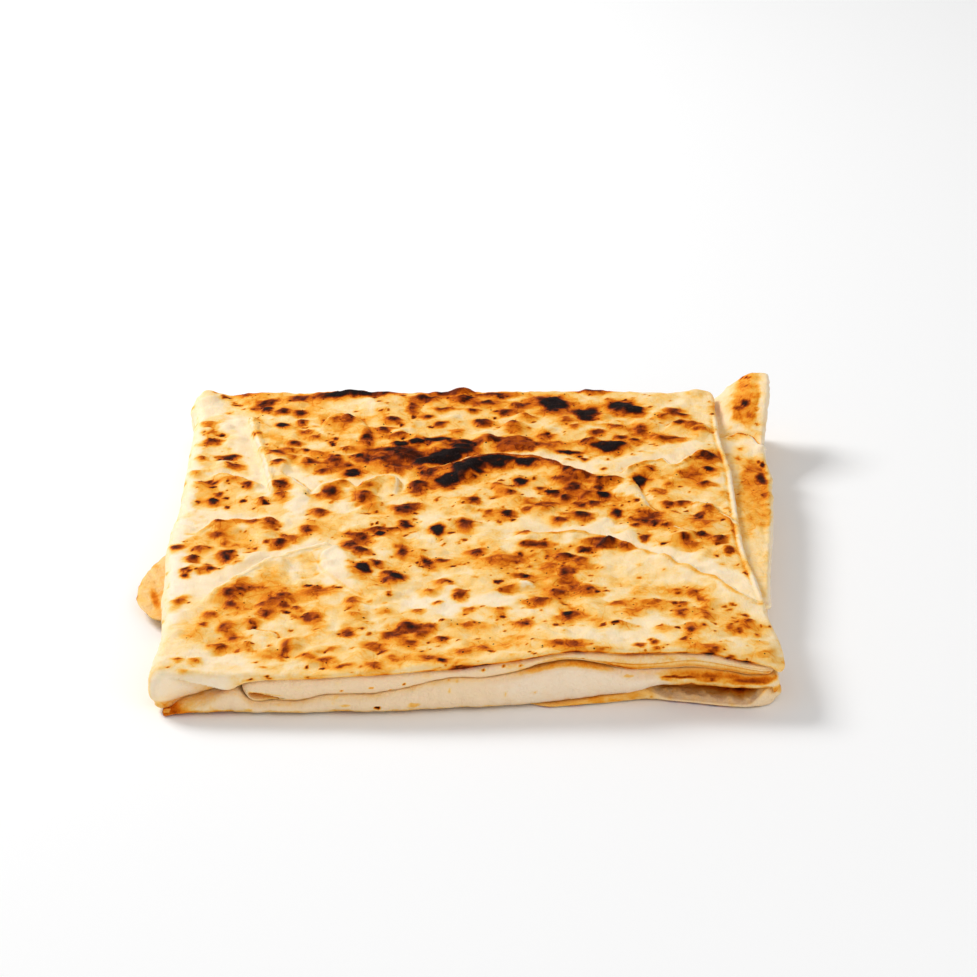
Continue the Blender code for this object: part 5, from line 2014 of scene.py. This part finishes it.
# ---- flecks
@dataclass
class Flecks:
    """Tiny charred scabs that cling to the top sheet, denser where it is browned."""

    sheet: Piece
    density: float = 26000.0
    size: float = 0.42
    seed: int = 4
    shape: tuple[float, float, float] = (1.0, 0.8, 0.34)
    wobble: tuple[float, ...] = (1.0, 0.82, 1.1, 0.9, 1.05, 0.8, 0.95)

    def scab(self) -> Piece:
        """Model one low dome of unit radius.

        Returns:
            The dome.
        """
        ring = len(self.wobble)
        turns = [2.0 * math.pi * k / ring for k in range(ring)]
        points = []
        for radius, height in ((1.0, -0.2), (0.6, 0.7)):
            reaches = [radius * wobble for wobble in self.wobble]
            points += [(r * math.cos(t), r * math.sin(t), height) for r, t in zip(reaches, turns)]
        points += [(0.0, 0.0, 0.95), (0.0, 0.0, -0.4)]
        faces = [(k, (k + 1) % ring, ring + (k + 1) % ring, ring + k) for k in range(ring)]
        faces += [(ring + k, ring + (k + 1) % ring, 2 * ring) for k in range(ring)]
        faces += [((k + 1) % ring, k, 2 * ring + 1) for k in range(ring)]
        mesh = bpy.data.meshes.new("scab")
        mesh.from_pydata([[c * s for c, s in zip(point, self.shape)] for point in points], [], faces)
        return stand("scab", mesh)

    def tree(self, scab: Piece, material: Material) -> bpy.types.GeometryNodeTree:
        """Build the node tree that scatters the scabs.

        Args:
            scab: The object to scatter.
            material: Its finish.

        Returns:
            The tree.
        """
        tree = bpy.data.node_groups.new("scatter_scabs", "GeometryNodeTree")
        tree.interface.new_socket("Geometry", in_out="OUTPUT", socket_type="NodeSocketGeometry")
        kinds = {"Geometry": "Geometry", "Density": "Float", "Size": "Float", "Seed": "Int"}
        for name, kind in kinds.items():
            tree.interface.new_socket(name, in_out="INPUT", socket_type=f"NodeSocket{kind}")
        bench = Bench(tree)
        entry = bench.node("NodeGroupInput", {}, {}).socket.node
        given = {socket.name: Wire(bench, socket) for socket in entry.outputs if socket.name}
        bake = bench.node("GeometryNodeInputNamedAttribute", {"data_type": "FLOAT"}, {"Name": "bake"},
                          "Attribute")
        share = bench.node("ShaderNodeMapRange", {}, {"Value": bake, "From Min": 0.3, "From Max": 0.7})
        normal = bench.node("GeometryNodeInputNormal", {}, {})
        upright = bench.node("ShaderNodeSeparateXYZ", {}, {0: normal}, "Z")
        density = share * upright.math("GREATER_THAN", upright, 0.8) * given["Density"]
        points = bench.node("GeometryNodeDistributePointsOnFaces", {},
                            {"Mesh": given["Geometry"], "Density": density, "Seed": given["Seed"]}, "Points")
        turn = bench.node("FunctionNodeRandomValue", {"data_type": "FLOAT_VECTOR"},
                          {"Max": (0.0, 0.0, 6.28), "Seed": 3})
        spin = bench.node("FunctionNodeRotateRotation", {"rotation_space": "LOCAL"},
                          {0: Wire(bench, points.socket.node.outputs["Rotation"]), 1: turn})
        spread = bench.node("FunctionNodeRandomValue", {"data_type": "FLOAT"},
                            {2: 0.45, 3: 1.25, "Seed": 9}, 1)
        shape = bench.node("GeometryNodeObjectInfo", {}, {"Object": scab}, "Geometry")
        placed = bench.node("GeometryNodeInstanceOnPoints", {},
                            {"Points": points, "Instance": shape, "Rotation": spin,
                             "Scale": spread * given["Size"]})
        real = bench.node("GeometryNodeRealizeInstances", {}, {"Geometry": placed})
        dressed = bench.node("GeometryNodeSetMaterial", {}, {"Geometry": real, "Material": material})
        bench.feed(tree.nodes.new("NodeGroupOutput").inputs[0], dressed)
        return tree

    def build(self) -> Piece:
        """Scatter the scabs and turn them into one piece.

        Returns:
            The finished piece.
        """
        scab = self.scab()
        material = DoughFinish("charred_flecks", mottle=0.06, pinholes=0.0, roughness=0.5).make()
        tree = self.tree(scab, material)
        host = self.sheet.copy()
        bpy.context.scene.collection.objects.link(host)
        scatter = host.modifiers.new("scatter", "NODES")
        scatter.node_group = tree
        named = {item.name: item.identifier for item in tree.interface.items_tree if item.in_out == "INPUT"}
        scatter[named["Density"]] = self.density
        scatter[named["Size"]] = self.size * MM
        scatter[named["Seed"]] = self.seed
        graph = bpy.context.evaluated_depsgraph_get()
        mesh = bpy.data.meshes.new_from_object(host.evaluated_get(graph))
        for leftover in (host, scab):
            bpy.data.objects.remove(leftover, do_unlink=True)
        mesh.name = "charred_flecks"
        mesh.attributes.new("bake", "FLOAT", "POINT")
        per_scab = 2 * len(self.wobble) + 2
        tones = np.random.default_rng(self.seed).uniform(0.76, 1.0, len(mesh.vertices) // per_scab)
        mesh.attributes["bake"].data.foreach_set("value", np.repeat(tones, per_scab).astype(np.float32))
        mesh.shade_smooth()
        piece = stand("charred_flecks", mesh)
        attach(piece, "root")
        LOG.info("%s: %d faces", piece.name, len(mesh.polygons))
        return piece


# ---- the studio
@dataclass
class Studio:
    """A pale floor, soft lights and the camera."""

    aim: tuple[float, float] = (2.0, 67.5)
    lens: float = 128.97
    sensor: float = 36.0
    elevation: float = 23.93
    distance: float = 1.2357
    clipping: tuple[float, float] = (0.05, 60.0)
    sky: float = 0.45
    floor_half: float = 12.0
    floor_height: float = -0.0004
    # Each lamp's name, its place from the target and its side in metres, and its power in watts.
    lamps: tuple[tuple[str, tuple[float, float, float], float, float], ...] = (
        ("key", (-0.95, 0.62, 0.92), 0.55, 17.0), ("fill", (0.5, -1.0, 0.7), 1.2, 5.2))

    def floor(self) -> None:
        """Lay the floor."""
        half, height = self.floor_half, self.floor_height
        mesh = bpy.data.meshes.new("floor")
        corners = [(-half, -half, height), (half, -half, height), (half, half, height), (-half, half, height)]
        mesh.from_pydata(corners, [], [(0, 1, 2, 3)])
        mesh.materials.append(FloorFinish().make())
        stand("floor", mesh)

    def build(self) -> None:
        """Set the floor, the lights and the camera."""
        self.floor()
        target = Vector(((self.aim[0] + SHIFT_X) * MM, (self.aim[1] + SHIFT_Y) * MM, 0.0))
        scene = bpy.context.scene
        world = bpy.data.worlds.new("studio_air")
        world.use_nodes = True
        world.node_tree.nodes["Background"].inputs["Color"].default_value = (1.0, 1.0, 1.0, 1.0)
        world.node_tree.nodes["Background"].inputs["Strength"].default_value = self.sky
        scene.world = world
        for name, place, size, power in self.lamps:
            light = bpy.data.lights.new(name, "AREA")
            light.size, light.energy = size, power
            lamp = stand(name, light)
            lamp.location = target + Vector(place)
            lamp.rotation_euler = (-Vector(place)).to_track_quat("-Z", "Y").to_euler()
        angle = math.radians(self.elevation)
        away = Vector((0.0, -math.cos(angle), math.sin(angle))) * self.distance
        camera = stand("camera", bpy.data.cameras.new("camera"))
        camera.data.lens, camera.data.sensor_width = self.lens, self.sensor
        camera.data.clip_start, camera.data.clip_end = self.clipping
        camera.location = target + away
        camera.rotation_euler = (-away).to_track_quat("-Z", "Y").to_euler()
        scene.camera = camera
        scene.view_settings.view_transform = "Standard"
        LOG.info("studio: floor, two lights and the camera")


def main() -> None:
    """Build the studio, every ply, then the flecks; each piece logs its face count."""
    logging.basicConfig(level=logging.INFO, format="%(name)s: %(message)s")
    plate = HotPlate()
    browned = DoughFinish("browned_dough", wrinkled=1.0, glow=0.15).make()
    # The pale finish's raw colour is beige and warm partly as painted shade and warm bounce light on the
    # front plies.
    pale = DoughFinish("pale_dough", raw=colour(247, 217, 178), rawness=0.85, pinholes=0.3, glow=0.12,
                       mottle=0.14, bump=0.42).make()
    base = DoughFinish("base_dough", raw=colour(238, 208, 168), rawness=0.6, pinholes=0.3, bump=0.42).make()
    Studio().build()
    BottomPly("bottom_ply", "base_dough", base, plate).build()
    LowerFold("lower_fold", "pale_dough", pale, plate).build()
    MiddlePly("middle_ply", "pale_dough", pale, plate).build()
    RightFlap("right_flap", "browned_dough", browned, plate).build()
    LeftTab("left_tab", "pale_dough", base, plate).build()
    sheet = TopSheet("top_sheet", "browned_dough", browned, plate).build()
    Flecks(sheet).build()


if __name__ == "__main__":
    main()
